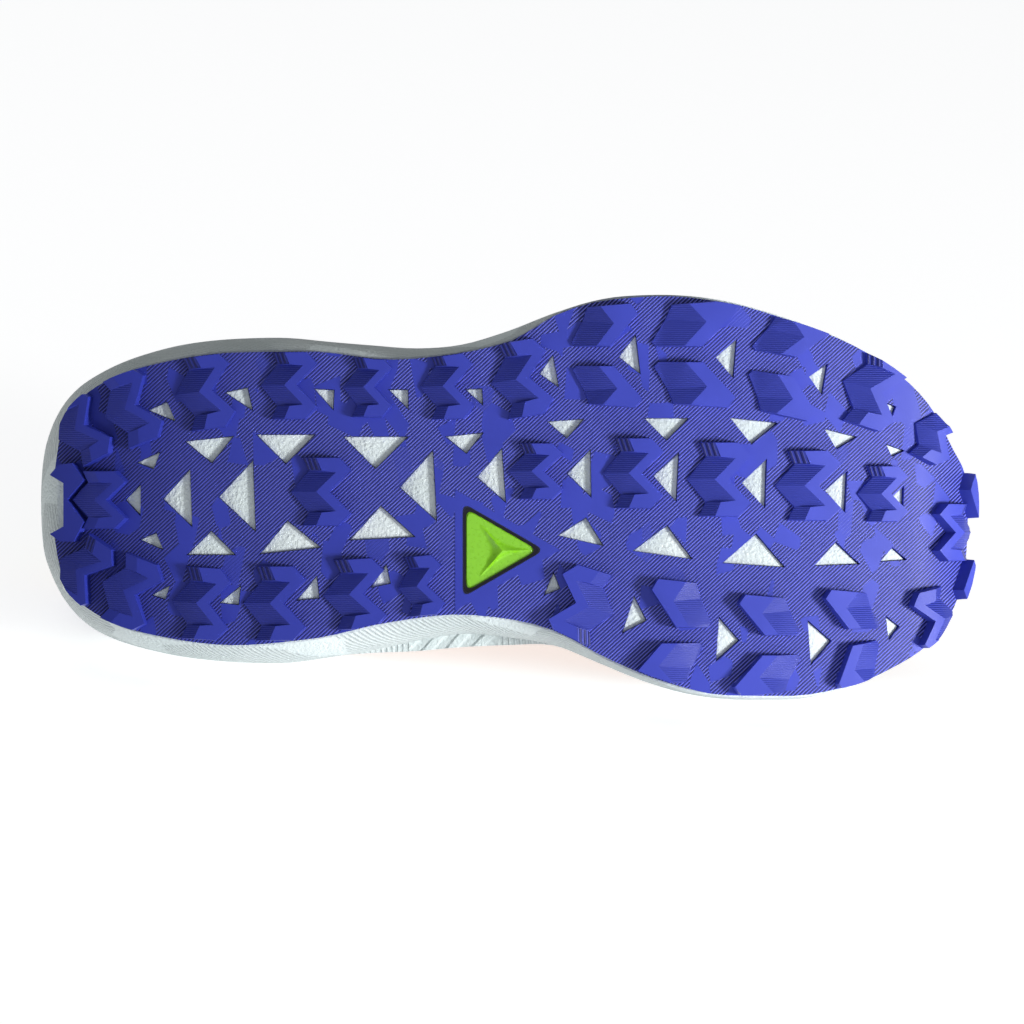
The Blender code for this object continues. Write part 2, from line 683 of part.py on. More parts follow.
def build_midsole():
    flare = both_sides(flare_edge)
    rings = []
    for height_share, flare_share, set_in in SIDE:
        shape = inward(flare, set_in)
        ring = []
        for c in range(RING):
            i = RING_STATION[c]
            side = RING_SIDE[c]
            x, y = outsole_edge(i, side)
            grow = 0.0 if i in (0, SEGMENTS) else EDGE_MARGIN
            low = bend(x, y + grow * side, -SHEET - GAP)
            share = flare_share
            if side > 0 and 0.0 < height_share < 0.6:
                share -= ARCH_DEPTH * arch(STATIONS[i]) * flare_share
            top = rim_height(i)
            ring.append(Vector((mix(low.x, shape[c][0], share), mix(low.y, shape[c][1], share),
                                mix(low.z, top, height_share))))
        rings.append(ring)
    crest = inward(flare, RIM_INSET)
    rings.append([Vector((crest[c][0], crest[c][1], rim_height(RING_STATION[c]) - CREST_DROP)) for c in range(RING)])
    foot = bed_ring(0.0)
    rings.append([Vector((foot[c][0], foot[c][1], bed_height(c))) for c in range(RING)])
    stack("midsole", rings)


def build_insole():
    outer = bed_ring(GAP + WALL + INSOLE_CLEAR)
    inner = bed_ring(GAP + WALL + INSOLE_CLEAR + INSOLE_SLOPE)
    base = [Vector((outer[c][0], outer[c][1], bed_height(c) + GAP)) for c in range(RING)]
    lip = [Vector((outer[c][0], outer[c][1], bed_height(c) + GAP + INSOLE)) for c in range(RING)]
    bowl = [Vector((inner[c][0], inner[c][1], bed_height(c) + GAP + INSOLE * INSOLE_BOWL)) for c in range(RING)]
    stack("insole", [base, lip, bowl])


# Upper.

def upper_point(c, row):
    """Outer face of the upper at a ring place and a row, both may be fractions."""
    c = c % RING
    side = 1 if c <= SEGMENTS else -1
    along = unwarp((c if side > 0 else RING - c) / SEGMENTS)
    low = int(math.floor(c)) % RING
    share = c - math.floor(c)
    a = FEATHER[low]
    b = FEATHER[(low + 1) % RING]
    foot = Vector((mix(a[0], b[0], share), mix(a[1], b[1], share), mix(a[2], b[2], share)))
    top_x = read(UPPER, 1, along) * SHOE_LENGTH
    centre = read(UPPER, 2, along) * HALF_WIDTH
    half = read(UPPER, 3, along) * HALF_WIDTH
    height = read(UPPER, 4, along) * SHOE_LENGTH
    top = Vector((top_x, centre + half * side, height))
    rise, lean, spread, drop = (read(UPPER, k, along) for k in (5, 6, 7, 8))
    out = Vector((foot.x - top.x, foot.y - top.y, 0.0))
    reach = out.length
    out = out / reach
    tall = top.z - foot.z
    lift = Vector((0.0, 0.0, tall))
    first = foot + lift * rise + out * min(reach * lean, LEAN_LIMIT)
    second = top + out * reach * spread - lift * drop
    v = row / ROWS
    return (foot * (1 - v) ** 3 + first * 3 * v * (1 - v) ** 2
            + second * 3 * v * v * (1 - v) + top * v ** 3)


def closed_top(c):
    """True where the two sides of the upper meet on the ridge."""
    return read(UPPER, 3, STATIONS[RING_STATION[c % RING]]) * HALF_WIDTH < THROAT_END and c % RING != 0


def node_key(c, row):
    """Grid node; on the ridge the lateral node is the medial one."""
    c = c % RING
    if row == ROWS and closed_top(c) and RING_SIDE[c] < 0:
        return RING - c, row
    return c, row


def raw_normal(c, row):
    row = min(max(row, 0.15), ROWS - 0.15)
    ahead = upper_point(c + 0.2, row) - upper_point(c - 0.2, row)
    up = upper_point(c, row + 0.15) - upper_point(c, row - 0.15)
    return up.cross(ahead).normalized()


def build_grid():
    points = {}
    normals = {}
    for c in range(RING):
        for row in range(ROWS + 1):
            key = node_key(c, row)
            normal = raw_normal(c, row)
            if key in points:
                normals[key] = (normals[key] + normal).normalized()
            else:
                points[key] = upper_point(c, row)
                normals[key] = normal
    for c in range(1, SEGMENTS):
        if closed_top(c):
            points[(c, ROWS)] = upper_point(c, ROWS)
    return points, normals


def on_grid(c, row, lift):
    """Point on the faceted upper at a whole column and any row, lifted off it."""
    low = min(int(row), ROWS - 1)
    share = row - low
    a = node_key(c, low)
    b = node_key(c, low + 1)
    point = GRID[a] * (1 - share) + GRID[b] * share
    normal = (NORMALS[a] * (1 - share) + NORMALS[b] * share).normalized()
    return point + normal * lift


def between_columns(c, row, lift):
    """The same at any column."""
    low = math.floor(c)
    share = c - low
    return on_grid(low % RING, row, lift) * (1 - share) + on_grid((low + 1) % RING, row, lift) * share


def shell(name, wanted, outer, inner):
    """A solid layer over the grid cells asked for, between two lifts."""
    index = {}
    verts = []
    faces = []
    edges = {}

    def vertex(key, layer):
        if (key, layer) not in index:
            lift = outer if layer else inner
            point = GRID[key] + NORMALS[key] * lift
            if key[1] == 0:
                point.z = GRID[key].z
            index[(key, layer)] = len(verts)
            verts.append(point)
        return index[(key, layer)]

    for c in range(RING):
        for row in range(ROWS):
            if wanted(c, row):
                corners = [node_key(c, row), node_key(c + 1, row), node_key(c + 1, row + 1), node_key(c, row + 1)]
                for tri in ((corners[0], corners[1], corners[2]), (corners[0], corners[2], corners[3])):
                    faces.append(tuple(vertex(k, True) for k in tri))
                    faces.append(tuple(vertex(k, False) for k in reversed(tri)))
                    for a, b in ((tri[0], tri[1]), (tri[1], tri[2]), (tri[2], tri[0])):
                        edges.setdefault(frozenset((a, b)), []).append((a, b))
    for uses in edges.values():
        if len(uses) == 1:
            a, b = uses[0]
            faces.append((vertex(a, True), vertex(a, False), vertex(b, False)))
            faces.append((vertex(a, True), vertex(b, False), vertex(b, True)))
    return new_object(name, verts, faces, SHOE)


def column_at(along, side):
    place = warp(along) * SEGMENTS
    return place if side > 0 else RING - place


def eyelet_cutter():
    """Round cutters through the upper and eyestay, square to the surface."""
    pieces = []
    count = EYELET_SIDES
    for along in EYELETS:
        for side in (1, -1):
            c = column_at(along, side)
            inner = between_columns(c, EYELET_ROW, -CUT_REACH)
            outer = between_columns(c, EYELET_ROW, CUT_REACH)
            axis = (outer - inner).normalized()
            across = axis.cross(Vector((0.0, 1.0, 0.0))).normalized()
            third = axis.cross(across)
            verts = []
            for end in (inner, outer):
                for k in range(count):
                    turn = 2.0 * math.pi * (k + 0.5) / count
                    verts.append(end + (across * math.cos(turn) + third * math.sin(turn)) * EYELET_RADIUS)
            faces = [tuple(reversed(range(count))), tuple(range(count, 2 * count))]
            faces += [(k, (k + 1) % count, count + (k + 1) % count, count + k) for k in range(count)]
            pieces.append((verts, faces))
    return cutter_object("eyelet_cut", *gather(pieces))


def side_prism(name, outline):
    """Prism across the whole shoe over an outline of x, z shares of the shoe length."""
    flat = [(x * SHOE_LENGTH, z * SHOE_LENGTH) for x, z in outline]
    verts, faces = prism(flat, -2.0 * HALF_WIDTH, 2.0 * HALF_WIDTH)
    return cutter_object(name, [(x, y, z) for x, z, y in verts], faces)


def above_rim(upper_edge):
    """Close an overlay's upper edge with the midsole rim's crest below it."""
    crest = inward(both_sides(flare_edge), RIM_INSET)[:SEGMENTS + 1]
    rim = []
    for i, (x, y) in enumerate(crest):
        share = x / SHOE_LENGTH
        if upper_edge[0][0] < share < upper_edge[-1][0] and (not rim or share > rim[-1][0]):
            rim.append((share, (rim_height(i) + RIM_CLEAR) / SHOE_LENGTH))
    return [*upper_edge, (upper_edge[-1][0], rim[-1][1]), *reversed(rim), (upper_edge[0][0], rim[0][1])]


def build_upper():
    upper = shell("upper", lambda c, row: True, 0.0, -WALL)
    boolean(upper, eyelet_cutter(), "DIFFERENCE")
    clean(upper, triangulate=True)


def overlay(name, wanted, outline):
    """A layer over part of the upper, trimmed in side view."""
    obj = shell(name, wanted, OVERLAY_GAP + OVERLAY, OVERLAY_GAP)
    boolean(obj, side_prism(name + "_trim", outline), "INTERSECT")
    return obj


def build_overlays():
    toe = math.floor(column_at(TOE_CAP_FROM, 1))
    toe_cap = overlay("toe_cap", lambda c, row: toe <= c < RING - toe and 1 <= row < ROWS - 1,
                      above_rim(TOE_CAP_TRIM))
    heel = math.ceil(column_at(COUNTER_TO, 1))
    counter = overlay("heel_counter", lambda c, row: (c < heel or c >= RING - heel) and 1 <= row < ROWS,
                      above_rim(COUNTER_TRIM))
    first = math.floor(column_at(EYESTAY_FROM, 1))
    last = math.ceil(column_at(EYESTAY_TO, 1))
    eyestay = overlay("eyestay", lambda c, row: row >= ROWS - 3 and (
        first <= c < last or RING - last <= c < RING - first), EYESTAY_TRIM)
    boolean(eyestay, eyelet_cutter(), "DIFFERENCE")
    for obj in (toe_cap, counter, eyestay):
        clean(obj, triangulate=True)


def tongue_section(c_medial, lift):
    """Outer and inner points of the tongue across the shoe at one column."""
    c_lateral = RING - c_medial
    ridge = closed_top(c_medial)
    rows = (ROWS - 2, ROWS - 1, ROWS - 0.5 if ridge else ROWS)
    medial = [(on_grid(c_medial, r, lift), on_grid(c_medial, r, lift - TONGUE_WING)) for r in rows]
    lateral = [(on_grid(c_lateral, r, lift), on_grid(c_lateral, r, lift - TONGUE_WING)) for r in rows]
    up = (NORMALS[node_key(c_medial, ROWS)] + NORMALS[node_key(c_lateral, ROWS)]).normalized()
    if ridge:
        crown = on_grid(c_medial, ROWS, lift)
    else:
        half = (medial[-1][0] - lateral[-1][0]).length / 2.0
        crown = (medial[-1][0] + lateral[-1][0]) / 2.0 + up * half * TONGUE_CROWN
    outer = [p[0] for p in medial] + [crown] + [p[0] for p in reversed(lateral)]
    inner = [p[1] for p in medial] + [crown - up * TONGUE_MIDDLE] + [p[1] for p in reversed(lateral)]
    for k in (2, 4):
        inner[k] = inner[k] - up * (TONGUE_MIDDLE - TONGUE_WING) * 0.5
    return outer, inner


def tongue_end(outer, inner):
    """Padded sections that carry the tongue on above the top eyelet."""
    centre = (outer[3] + inner[3]) / 2.0
    along, up = TONGUE_WAY
    thick_way = Vector((up, 0.0, -along)).normalized()
    sections = []
    for distance, width, thick in TONGUE_TOP:
        grown = []
        for row, sign in ((outer, 0.5), (inner, -0.5)):
            points = []
            for p, q in zip(outer, inner):
                middle = (p + q) / 2.0
                point = middle + Vector((along, 0.0, up)) * distance
                point += thick_way * sign * mix(TONGUE_WING, TONGUE_PAD, thick)
                point.y = centre.y + (point.y - centre.y) * width
                points.append(point)
            grown.append(points)
        sections.append(tuple(grown))
    return sections


def build_tongue():
    front = math.ceil(column_at(TONGUE_FRONT, 1))
    top = math.floor(column_at(TONGUE_TOP_AT, 1))
    sections = [tongue_section(c, -WALL - TONGUE_GAP) for c in range(front, top - 1, -1)]
    sections += tongue_end(*sections[-1])
    verts = []
    for outer, inner in sections:
        verts += outer + list(reversed(inner))
    loop = len(sections[0][0]) * 2
    faces = [tuple(reversed(range(loop)))]
    for k in range(len(sections) - 1):
        for i in range(loop):
            j = (i + 1) % loop
            a = k * loop
            b = a + loop
            faces.append((a + i, a + j, b + j))
            faces.append((a + i, b + j, b + i))
    faces.append(tuple(range((len(sections) - 1) * loop, len(sections) * loop)))
    clean(new_object("tongue", verts, faces, SHOE), triangulate=True)


def ribbon(path, width_way, width, thick):
    """A flat strap swept along a path; width_way points across it."""
    verts = []
    for k, point in enumerate(path):
        before = path[max(k - 1, 0)]
        after = path[min(k + 1, len(path) - 1)]
        run = (after - before).normalized()
        wide = (width_way - run * width_way.dot(run)).normalized()
        up = run.cross(wide)
        for a, b in ((-1, -1), (1, -1), (1, 1), (-1, 1)):
            verts.append(point + wide * a * width / 2.0 + up * b * thick / 2.0)
    faces = [(3, 2, 1, 0)]
    for k in range(len(path) - 1):
        for i in range(4):
            j = (i + 1) % 4
            a = 4 * k
            b = a + 4
            faces.append((a + i, a + j, b + j))
            faces.append((a + i, b + j, b + i))
    last = 4 * (len(path) - 1)
    faces.append((last, last + 1, last + 2, last + 3))
    return verts, faces


def lace_anchor(along, side, row, extra):
    lift = OVERLAY_GAP + OVERLAY + LACE_GAP + LACE_THICK / 2.0 + extra
    return between_columns(column_at(along, side), row, lift)


def build_lace():
    """Crossings over the tongue from eyelet to eyelet, joined in one piece."""
    way = (between_columns(column_at(EYELETS[-1], 1), ROWS, 0.0)
           - between_columns(column_at(EYELETS[0], 1), ROWS, 0.0))
    way.y = 0.0
    way.normalize()
    pairs = [(EYELETS[0], EYELETS[0], 0.0)]
    for a, b in zip(EYELETS, EYELETS[1:]):
        pairs += [(a, b, LACE_LAYER), (b, a, 2.0 * LACE_LAYER)]
    lace = None
    for medial, lateral, layer in pairs:
        start = lace_anchor(medial, 1, EYELET_ROW, layer)
        end = lace_anchor(lateral, -1, EYELET_ROW, layer)
        near = lace_anchor(mix(medial, lateral, LACE_NEAR), 1, ROWS, LACE_RISE + layer)
        far = lace_anchor(mix(lateral, medial, LACE_NEAR), -1, ROWS, LACE_RISE + layer)
        normal = (NORMALS[node_key(round(column_at(medial, 1)), ROWS)]
                  + NORMALS[node_key(round(column_at(lateral, -1)), ROWS)]).normalized()
        middle = (near + far) / 2.0 + normal * LACE_CROWN
        verts, faces = ribbon([start, near, middle, far, end], way, LACE_WIDTH, LACE_THICK)
        bar = new_object("lace", verts, faces, SHOE if lace is None else CUTTERS)
        if lace is None:
            lace = bar
        else:
            boolean(lace, bar, "UNION")
    clean(lace, triangulate=True)


def build_heel_tab():
    """Folded webbing tab that stands up behind the collar."""
    away = TAB_THICK / 2.0 + TAB_GAP
    path = [on_grid(0, row, away) for row in (ROWS - 1.4, ROWS - 0.9, ROWS - 0.4)]
    path.append(path[-1] + Vector((-TAB_LEAN, 0.0, TAB_RISE / 2.0)))
    path.append(path[-2] + Vector((0.0, 0.0, TAB_RISE)))
    new_object("heel_tab", *ribbon(path, Vector((0.0, 1.0, 0.0)), TAB_WIDTH, TAB_THICK), SHOE)


# Laying the shoe down.

def solid_centre(obj):
    """Volume and centre of a closed mesh."""
    mesh = obj.data
    mesh.calc_loop_triangles()
    points = np.array([v.co[:] for v in mesh.vertices])
    tris = np.array([t.vertices[:] for t in mesh.loop_triangles])
    a = points[tris[:, 0]]
    b = points[tris[:, 1]]
    c = points[tris[:, 2]]
    volume = np.einsum("ij,ij->i", a, np.cross(b, c)) / 6.0
    centre = ((a + b + c) / 4.0 * volume[:, None]).sum(axis=0) / volume.sum()
    return volume.sum(), centre


def resting_turn(objects):
    """Rotation that puts the medial side down on the facet the shoe would come to rest on."""
    mass = 0.0
    moment = np.zeros(3)
    bm = bmesh.new()
    for obj in objects:
        volume, centre = solid_centre(obj)
        weight = volume * DENSITY[obj.name]
        mass += weight
        moment += centre * weight
        for vert in obj.data.vertices:
            bm.verts.new(vert.co)
    balance = Vector(moment / mass)
    hull = bmesh.ops.convex_hull(bm, input=bm.verts)
    best = None
    for face in [g for g in hull["geom"] if isinstance(g, bmesh.types.BMFace)]:
        normal = face.normal.copy()
        if normal.dot(face.calc_center_median() - balance) < 0.0:
            normal.negate()
        if normal.y < 0.75:
            continue
        drop = (face.verts[0].co - balance).dot(normal)
        foot = balance + normal * drop
        margin = 1.0
        count = len(face.verts)
        middle = face.calc_center_median()
        for i in range(count):
            a = face.verts[i].co
            b = face.verts[(i + 1) % count].co
            side = (b - a).cross(normal).normalized()
            if side.dot(middle - a) < 0.0:
                side.negate()
            margin = min(margin, side.dot(foot - a))
        if best is None or margin > best[0]:
            best = (margin, normal, [v.co.copy() for v in face.verts])
    bm.free()
    margin, normal, contacts = best
    down = normal.normalized()
    ahead = Vector((1.0, 0.0, 0.0))
    ahead = (ahead - down * ahead.dot(down)).normalized()
    across = (-down).cross(ahead)
    turn = Matrix((ahead, across, -down)).to_4x4()
    print("rest: mass %.3f kg, balance %s, margin %.4f, contacts %s" % (
        mass, tuple(round(v, 4) for v in balance), margin, [tuple(round(v, 4) for v in p) for p in contacts]))
    return turn


def lay_down(objects):
    turn = resting_turn(objects)
    for obj in objects:
        obj.data.transform(turn)
    corners = np.array([v.co[:] for obj in objects for v in obj.data.vertices])
    low = corners.min(axis=0)
    high = corners.max(axis=0)
    move = Matrix.Translation((-(low[0] + high[0]) / 2.0, -(low[1] + high[1]) / 2.0, -low[2]))
    for obj in objects:
        obj.data.transform(move)
        obj.data.update()
    print("lying size", (high - low).round(4), "turn", [tuple(round(v, 4) for v in row) for row in turn])
    return move @ turn


def paint(objects):
    for obj in objects:
        material = bpy.data.materials.new(obj.name)
        material.use_nodes = True
        shader = material.node_tree.nodes["Principled BSDF"]
        shader.inputs["Base Color"].default_value = (*COLOUR[obj.name], 1.0)
        shader.inputs["Roughness"].default_value = 0.55
        obj.data.materials.clear()
        obj.data.materials.append(material)


for old in list(bpy.data.objects):
    bpy.data.objects.remove(old, do_unlink=True)
SHOE = bpy.data.collections.new("trail_running_shoe")
CUTTERS = bpy.data.collections.new("cutters")
bpy.context.scene.collection.children.link(SHOE)
bpy.context.scene.collection.children.link(CUTTERS)

SEAT_RING = bed_ring(GAP)
FEATHER = [(SEAT_RING[c][0], SEAT_RING[c][1], bed_height(c) + SEAT) for c in range(RING)]
GRID, NORMALS = build_grid()

build_outsole()
build_badge()
build_midsole()
build_insole()
build_upper()
build_overlays()
build_tongue()
build_lace()
build_heel_tab()
PIECES = sorted(SHOE.objects, key=lambda o: o.name)
TURN_ALL = lay_down(PIECES)
paint(PIECES)
print("triangles", {o.name: sum(len(p.vertices) - 2 for p in o.data.polygons) for o in PIECES})
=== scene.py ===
"""Looks of the right trail running shoe that lies on its medial side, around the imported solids.

The shoe is made in its own frame, as in the part's source: X from heel to toe, +Y to the medial
side, +Z up, lug tops on z = 0.  The two tread mounts of the record give its place in the row frame.
"""

import json
import math

import bmesh
import bpy
import numpy as np
from mathutils import Matrix, Vector


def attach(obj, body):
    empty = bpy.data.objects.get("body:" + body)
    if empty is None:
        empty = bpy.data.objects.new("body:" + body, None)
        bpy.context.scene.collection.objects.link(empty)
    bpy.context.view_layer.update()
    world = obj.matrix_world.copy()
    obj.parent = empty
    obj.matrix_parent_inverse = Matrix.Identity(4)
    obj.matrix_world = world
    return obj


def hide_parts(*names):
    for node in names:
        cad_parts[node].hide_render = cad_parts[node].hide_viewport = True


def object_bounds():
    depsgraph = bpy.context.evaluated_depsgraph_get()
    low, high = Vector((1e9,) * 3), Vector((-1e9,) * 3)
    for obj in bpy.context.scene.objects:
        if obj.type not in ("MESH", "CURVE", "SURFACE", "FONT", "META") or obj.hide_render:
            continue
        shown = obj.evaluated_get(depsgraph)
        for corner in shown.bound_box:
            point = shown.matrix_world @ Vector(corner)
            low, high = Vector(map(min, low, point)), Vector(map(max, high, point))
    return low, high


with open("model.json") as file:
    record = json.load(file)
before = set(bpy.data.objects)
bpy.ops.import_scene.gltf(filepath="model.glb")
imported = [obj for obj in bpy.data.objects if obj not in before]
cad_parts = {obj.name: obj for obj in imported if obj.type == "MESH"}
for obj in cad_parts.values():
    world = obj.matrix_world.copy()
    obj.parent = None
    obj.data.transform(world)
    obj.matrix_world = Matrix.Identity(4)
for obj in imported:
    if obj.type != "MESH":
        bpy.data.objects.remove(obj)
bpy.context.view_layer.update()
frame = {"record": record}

# Sizes repeated from the part's source, metres.
SHOE_LENGTH = 0.300
HALF_WIDTH = 0.065
SHEET = 0.0025
LUG_HEIGHT = 0.0042
LUG_DRAFT = 0.0004
LUG_ROOT = 0.0018
LUG_EDGE = 0.0003
GAP = 0.0003
EDGE_MARGIN = 0.0006
OUTSOLE_HEEL = 0.0035
OUTSOLE_TOE_INSET = 0.0032
FLARE_TOE_INSET = 0.0034    # 1.9 mm more than in the source: the rubber reaches past the foam
OUTSOLE_TOE = SHOE_LENGTH - OUTSOLE_TOE_INSET
FLARE_TOE = SHOE_LENGTH - FLARE_TOE_INSET
RIM_INSET = 0.0078
CREST_DROP = 0.0004
BED_INSET = 0.0086
BED_DEPTH = 0.0080
WALL = 0.0020
SEAT = 0.0004
LEAN_LIMIT = 0.0040
THROAT_END = 0.0006
OVERLAY = 0.0010
OVERLAY_GAP = 0.0003
INSOLE = 0.0040
INSOLE_INSET = 0.0006
INSOLE_SLOPE = 0.0034
TONGUE_WING = 0.0026
TONGUE_MIDDLE = 0.0050
TONGUE_PAD = 0.0075
TONGUE_GAP = 0.0012
LACE_WIDTH = 0.0050
LACE_THICK = 0.0016
LACE_GAP = 0.0009
LACE_LIFT = OVERLAY_GAP + OVERLAY + LACE_GAP + LACE_THICK / 2.0
TAB_WIDTH = 0.0120
TAB_THICK = 0.0024
TAB_GAP = 0.0004
TAB_RISE = 0.0140
FLAT_FROM = 0.17            # flat middle of the ground line and end of its rocker, along the shoe
FLAT_TO = 0.60
ROCKER_TO = 0.925
FLAT_START = FLAT_FROM * SHOE_LENGTH
FLAT_END = FLAT_TO * SHOE_LENGTH
ROCKER_END = ROCKER_TO * SHOE_LENGTH
HEEL_TURN = math.radians(25.6)
ROCKER_TURN = math.radians(21.6)
TOE_TURN = math.radians(64.7)
HEEL_RADIUS = (FLAT_START - OUTSOLE_HEEL) / math.sin(HEEL_TURN)
ROCKER_RADIUS = (ROCKER_END - FLAT_END) / math.sin(ROCKER_TURN)
TOE_RADIUS = (OUTSOLE_TOE - ROCKER_END) / (math.sin(TOE_TURN) - math.sin(ROCKER_TURN))
SEGMENTS = 32
ROWS = 7
WINDOW_UNIT = 0.0159
WINDOW_DEPTH_RATIO = 0.50
TREAD_HEEL = Vector((0.0915, -0.0075, 0.0))       # the record's two mounts in the shoe's own frame
TREAD_FOREFOOT = Vector((0.159, -0.0135, 0.0))

# Outline of the outsole: along its own length, lateral and medial half width.
OUTSOLE = (
    (0.000, -0.03, 0.03), (0.004, 0.21, 0.27), (0.013, 0.38, 0.41), (0.050, 0.55, 0.575),
    (0.100, 0.64, 0.66), (0.200, 0.71, 0.72), (0.280, 0.715, 0.69), (0.370, 0.675, 0.605),
    (0.440, 0.705, 0.57), (0.500, 0.77, 0.595), (0.545, 0.89, 0.65), (0.600, 0.965, 0.78),
    (0.665, 0.985, 0.90), (0.730, 0.955, 0.965), (0.800, 0.87, 0.97), (0.860, 0.77, 0.93),
    (0.920, 0.61, 0.82), (0.955, 0.455, 0.715), (0.982, 0.24, 0.55), (0.996, 0.12, 0.35),
    (1.000, -0.03, 0.03),
)

# Widest line of the midsole side: along, lateral and medial half width.
FLARE = (
    (0.000, -0.02, 0.02), (0.003, 0.21, 0.26), (0.012, 0.36, 0.39), (0.031, 0.51, 0.55),
    (0.063, 0.62, 0.67), (0.110, 0.71, 0.745), (0.180, 0.775, 0.80), (0.250, 0.79, 0.815),
    (0.330, 0.76, 0.775), (0.420, 0.735, 0.755), (0.480, 0.79, 0.73), (0.545, 0.90, 0.73),
    (0.600, 0.965, 0.815), (0.665, 0.975, 0.93), (0.730, 0.940, 0.99), (0.800, 0.855, 0.995),
    (0.860, 0.755, 0.945), (0.920, 0.61, 0.83), (0.955, 0.47, 0.725), (0.982, 0.25, 0.56),
    (0.996, 0.13, 0.36), (1.000, -0.03, 0.03),
)

# Top of the midsole rim: along, height as a share of the shoe length.
RIM = (
    (0.00, 0.158), (0.08, 0.152), (0.22, 0.143), (0.40, 0.128), (0.58, 0.121), (0.74, 0.127),
    (0.86, 0.146), (0.95, 0.168), (1.00, 0.182),
)

# Side of the midsole from ground edge to rim: share of the height, share of the flare, set in.
# It has the source's step at 0.60 and a fine crease at 0.30 besides.
SIDE = (
    (0.00, 0.00, 0.0000), (0.04, 0.20, 0.0000), (0.10, 0.45, 0.0000), (0.17, 0.65, 0.0000),
    (0.25, 0.82, 0.0000), (0.295, 0.89, 0.0000), (0.31, 0.91, 0.0007), (0.34, 0.94, 0.0004),
    (0.42, 0.97, 0.0000), (0.52, 1.00, 0.0000), (0.59, 1.00, 0.0000), (0.605, 1.00, 0.0003),
    (0.65, 1.00, 0.0013), (0.70, 1.00, 0.0019), (0.80, 1.00, 0.0031), (0.88, 1.00, 0.0042),
    (0.95, 1.00, 0.0049), (0.985, 1.00, 0.0055), (1.00, 1.00, 0.0062),
)
WRAP_LEVEL = 8              # row of this table that the ribs of the side are measured along
RIM_ROUND = 0.0022          # drop of the rim half way to the footbed
HEEL_SWELL = 0.0015         # the heel stands further back than in the source, up to this share along
HEEL_SWELL_TO = 0.10
ARCH_FROM = 0.30            # hollow in the medial side under the arch, below the step
ARCH_TO = 0.60
ARCH_DEPTH = 0.45

# Sections of the upper: along, then top, centre, half, height, rise, lean, spread, drop.
UPPER = (
    (0.000, 0.044, 0.000, 0.000, 0.352, 0.42, 0.30, 0.55, 0.38),
    (0.012, 0.050, 0.000, 0.160, 0.350, 0.42, 0.25, 0.52, 0.38),
    (0.050, 0.076, 0.000, 0.320, 0.336, 0.40, 0.15, 0.40, 0.36),
    (0.110, 0.124, 0.000, 0.420, 0.312, 0.38, 0.05, 0.28, 0.34),
    (0.190, 0.195, 0.005, 0.460, 0.292, 0.36, 0.02, 0.22, 0.32),
    (0.270, 0.268, 0.010, 0.485, 0.302, 0.36, 0.02, 0.24, 0.32),
    (0.350, 0.340, 0.010, 0.440, 0.345, 0.38, 0.03, 0.28, 0.30),
    (0.420, 0.400, 0.010, 0.345, 0.376, 0.40, 0.03, 0.38, 0.26),
    (0.500, 0.470, 0.020, 0.285, 0.350, 0.42, 0.04, 0.48, 0.19),
    (0.580, 0.545, 0.035, 0.235, 0.316, 0.44, 0.05, 0.56, 0.12),
    (0.650, 0.610, 0.055, 0.185, 0.286, 0.46, 0.04, 0.60, 0.07),
    (0.690, 0.640, 0.065, 0.110, 0.275, 0.48, 0.04, 0.62, 0.04),
    (0.720, 0.655, 0.070, 0.000, 0.270, 0.50, 0.04, 0.62, 0.02),
    (0.800, 0.715, 0.085, 0.000, 0.252, 0.54, 0.03, 0.64, 0.00),
    (0.880, 0.785, 0.105, 0.000, 0.240, 0.58, 0.02, 0.66, 0.00),
    (0.950, 0.850, 0.130, 0.000, 0.232, 0.62, 0.02, 0.66, 0.00),
    (1.000, 0.895, 0.150, 0.000, 0.226, 0.66, 0.02, 0.66, 0.00),
)

# Shapes of the lugs: points (rear to front, across, up, as shares of the lug), how many of them
# are the outline, and the faces on top.
CHEVRON = (
    ((0.00, 0.00, 0.16), (0.30, -0.31, 0.36), (0.20, -0.50, 0.36), (0.43, -0.50, 1.00),
     (0.80, -0.50, 1.00), (1.00, -0.32, 1.00), (0.66, 0.00, 1.00), (1.00, 0.32, 1.00),
     (0.80, 0.50, 1.00), (0.43, 0.50, 1.00), (0.20, 0.50, 0.36), (0.30, 0.31, 0.36),
     (0.52, -0.30, 1.00), (0.75, -0.28, 1.00), (0.43, 0.00, 1.00), (0.75, 0.28, 1.00),
     (0.52, 0.30, 1.00)),
    12,
    ((3, 4, 5, 6, 7, 8, 9, 16, 15, 14, 13, 12), (2, 3, 12, 1), (1, 12, 13), (0, 1, 13, 14), (0, 14, 15, 11),
     (11, 15, 16), (10, 11, 16, 9)),
)
BLADE = (
    ((0.00, 0.10, 0.22), (0.16, 0.60, 0.22), (0.24, 0.92, 0.40), (0.44, 0.95, 1.00), (0.90, 1.00, 1.00),
     (1.00, 0.78, 1.00), (0.60, 0.00, 1.00), (0.38, 0.00, 1.00), (0.05, 0.00, 0.25), (0.64, 0.54, 1.00)),
    9,
    ((3, 4, 5, 6, 7, 9), (0, 8, 7, 9, 1), (1, 9, 3, 2)),
)
NUB = (
    ((0.10, -0.20, 1.00), (0.40, -0.50, 1.00), (1.00, 0.00, 1.00), (0.40, 0.50, 1.00),
     (0.10, 0.20, 1.00)),
    5,
    ((0, 1, 2, 3, 4),),
)
HEEL_RISE = 0.30            # share of the ramps' fall that the flatter lugs of the heel have
SMOOTH_TO = 0.12            # and how far along the sole they reach

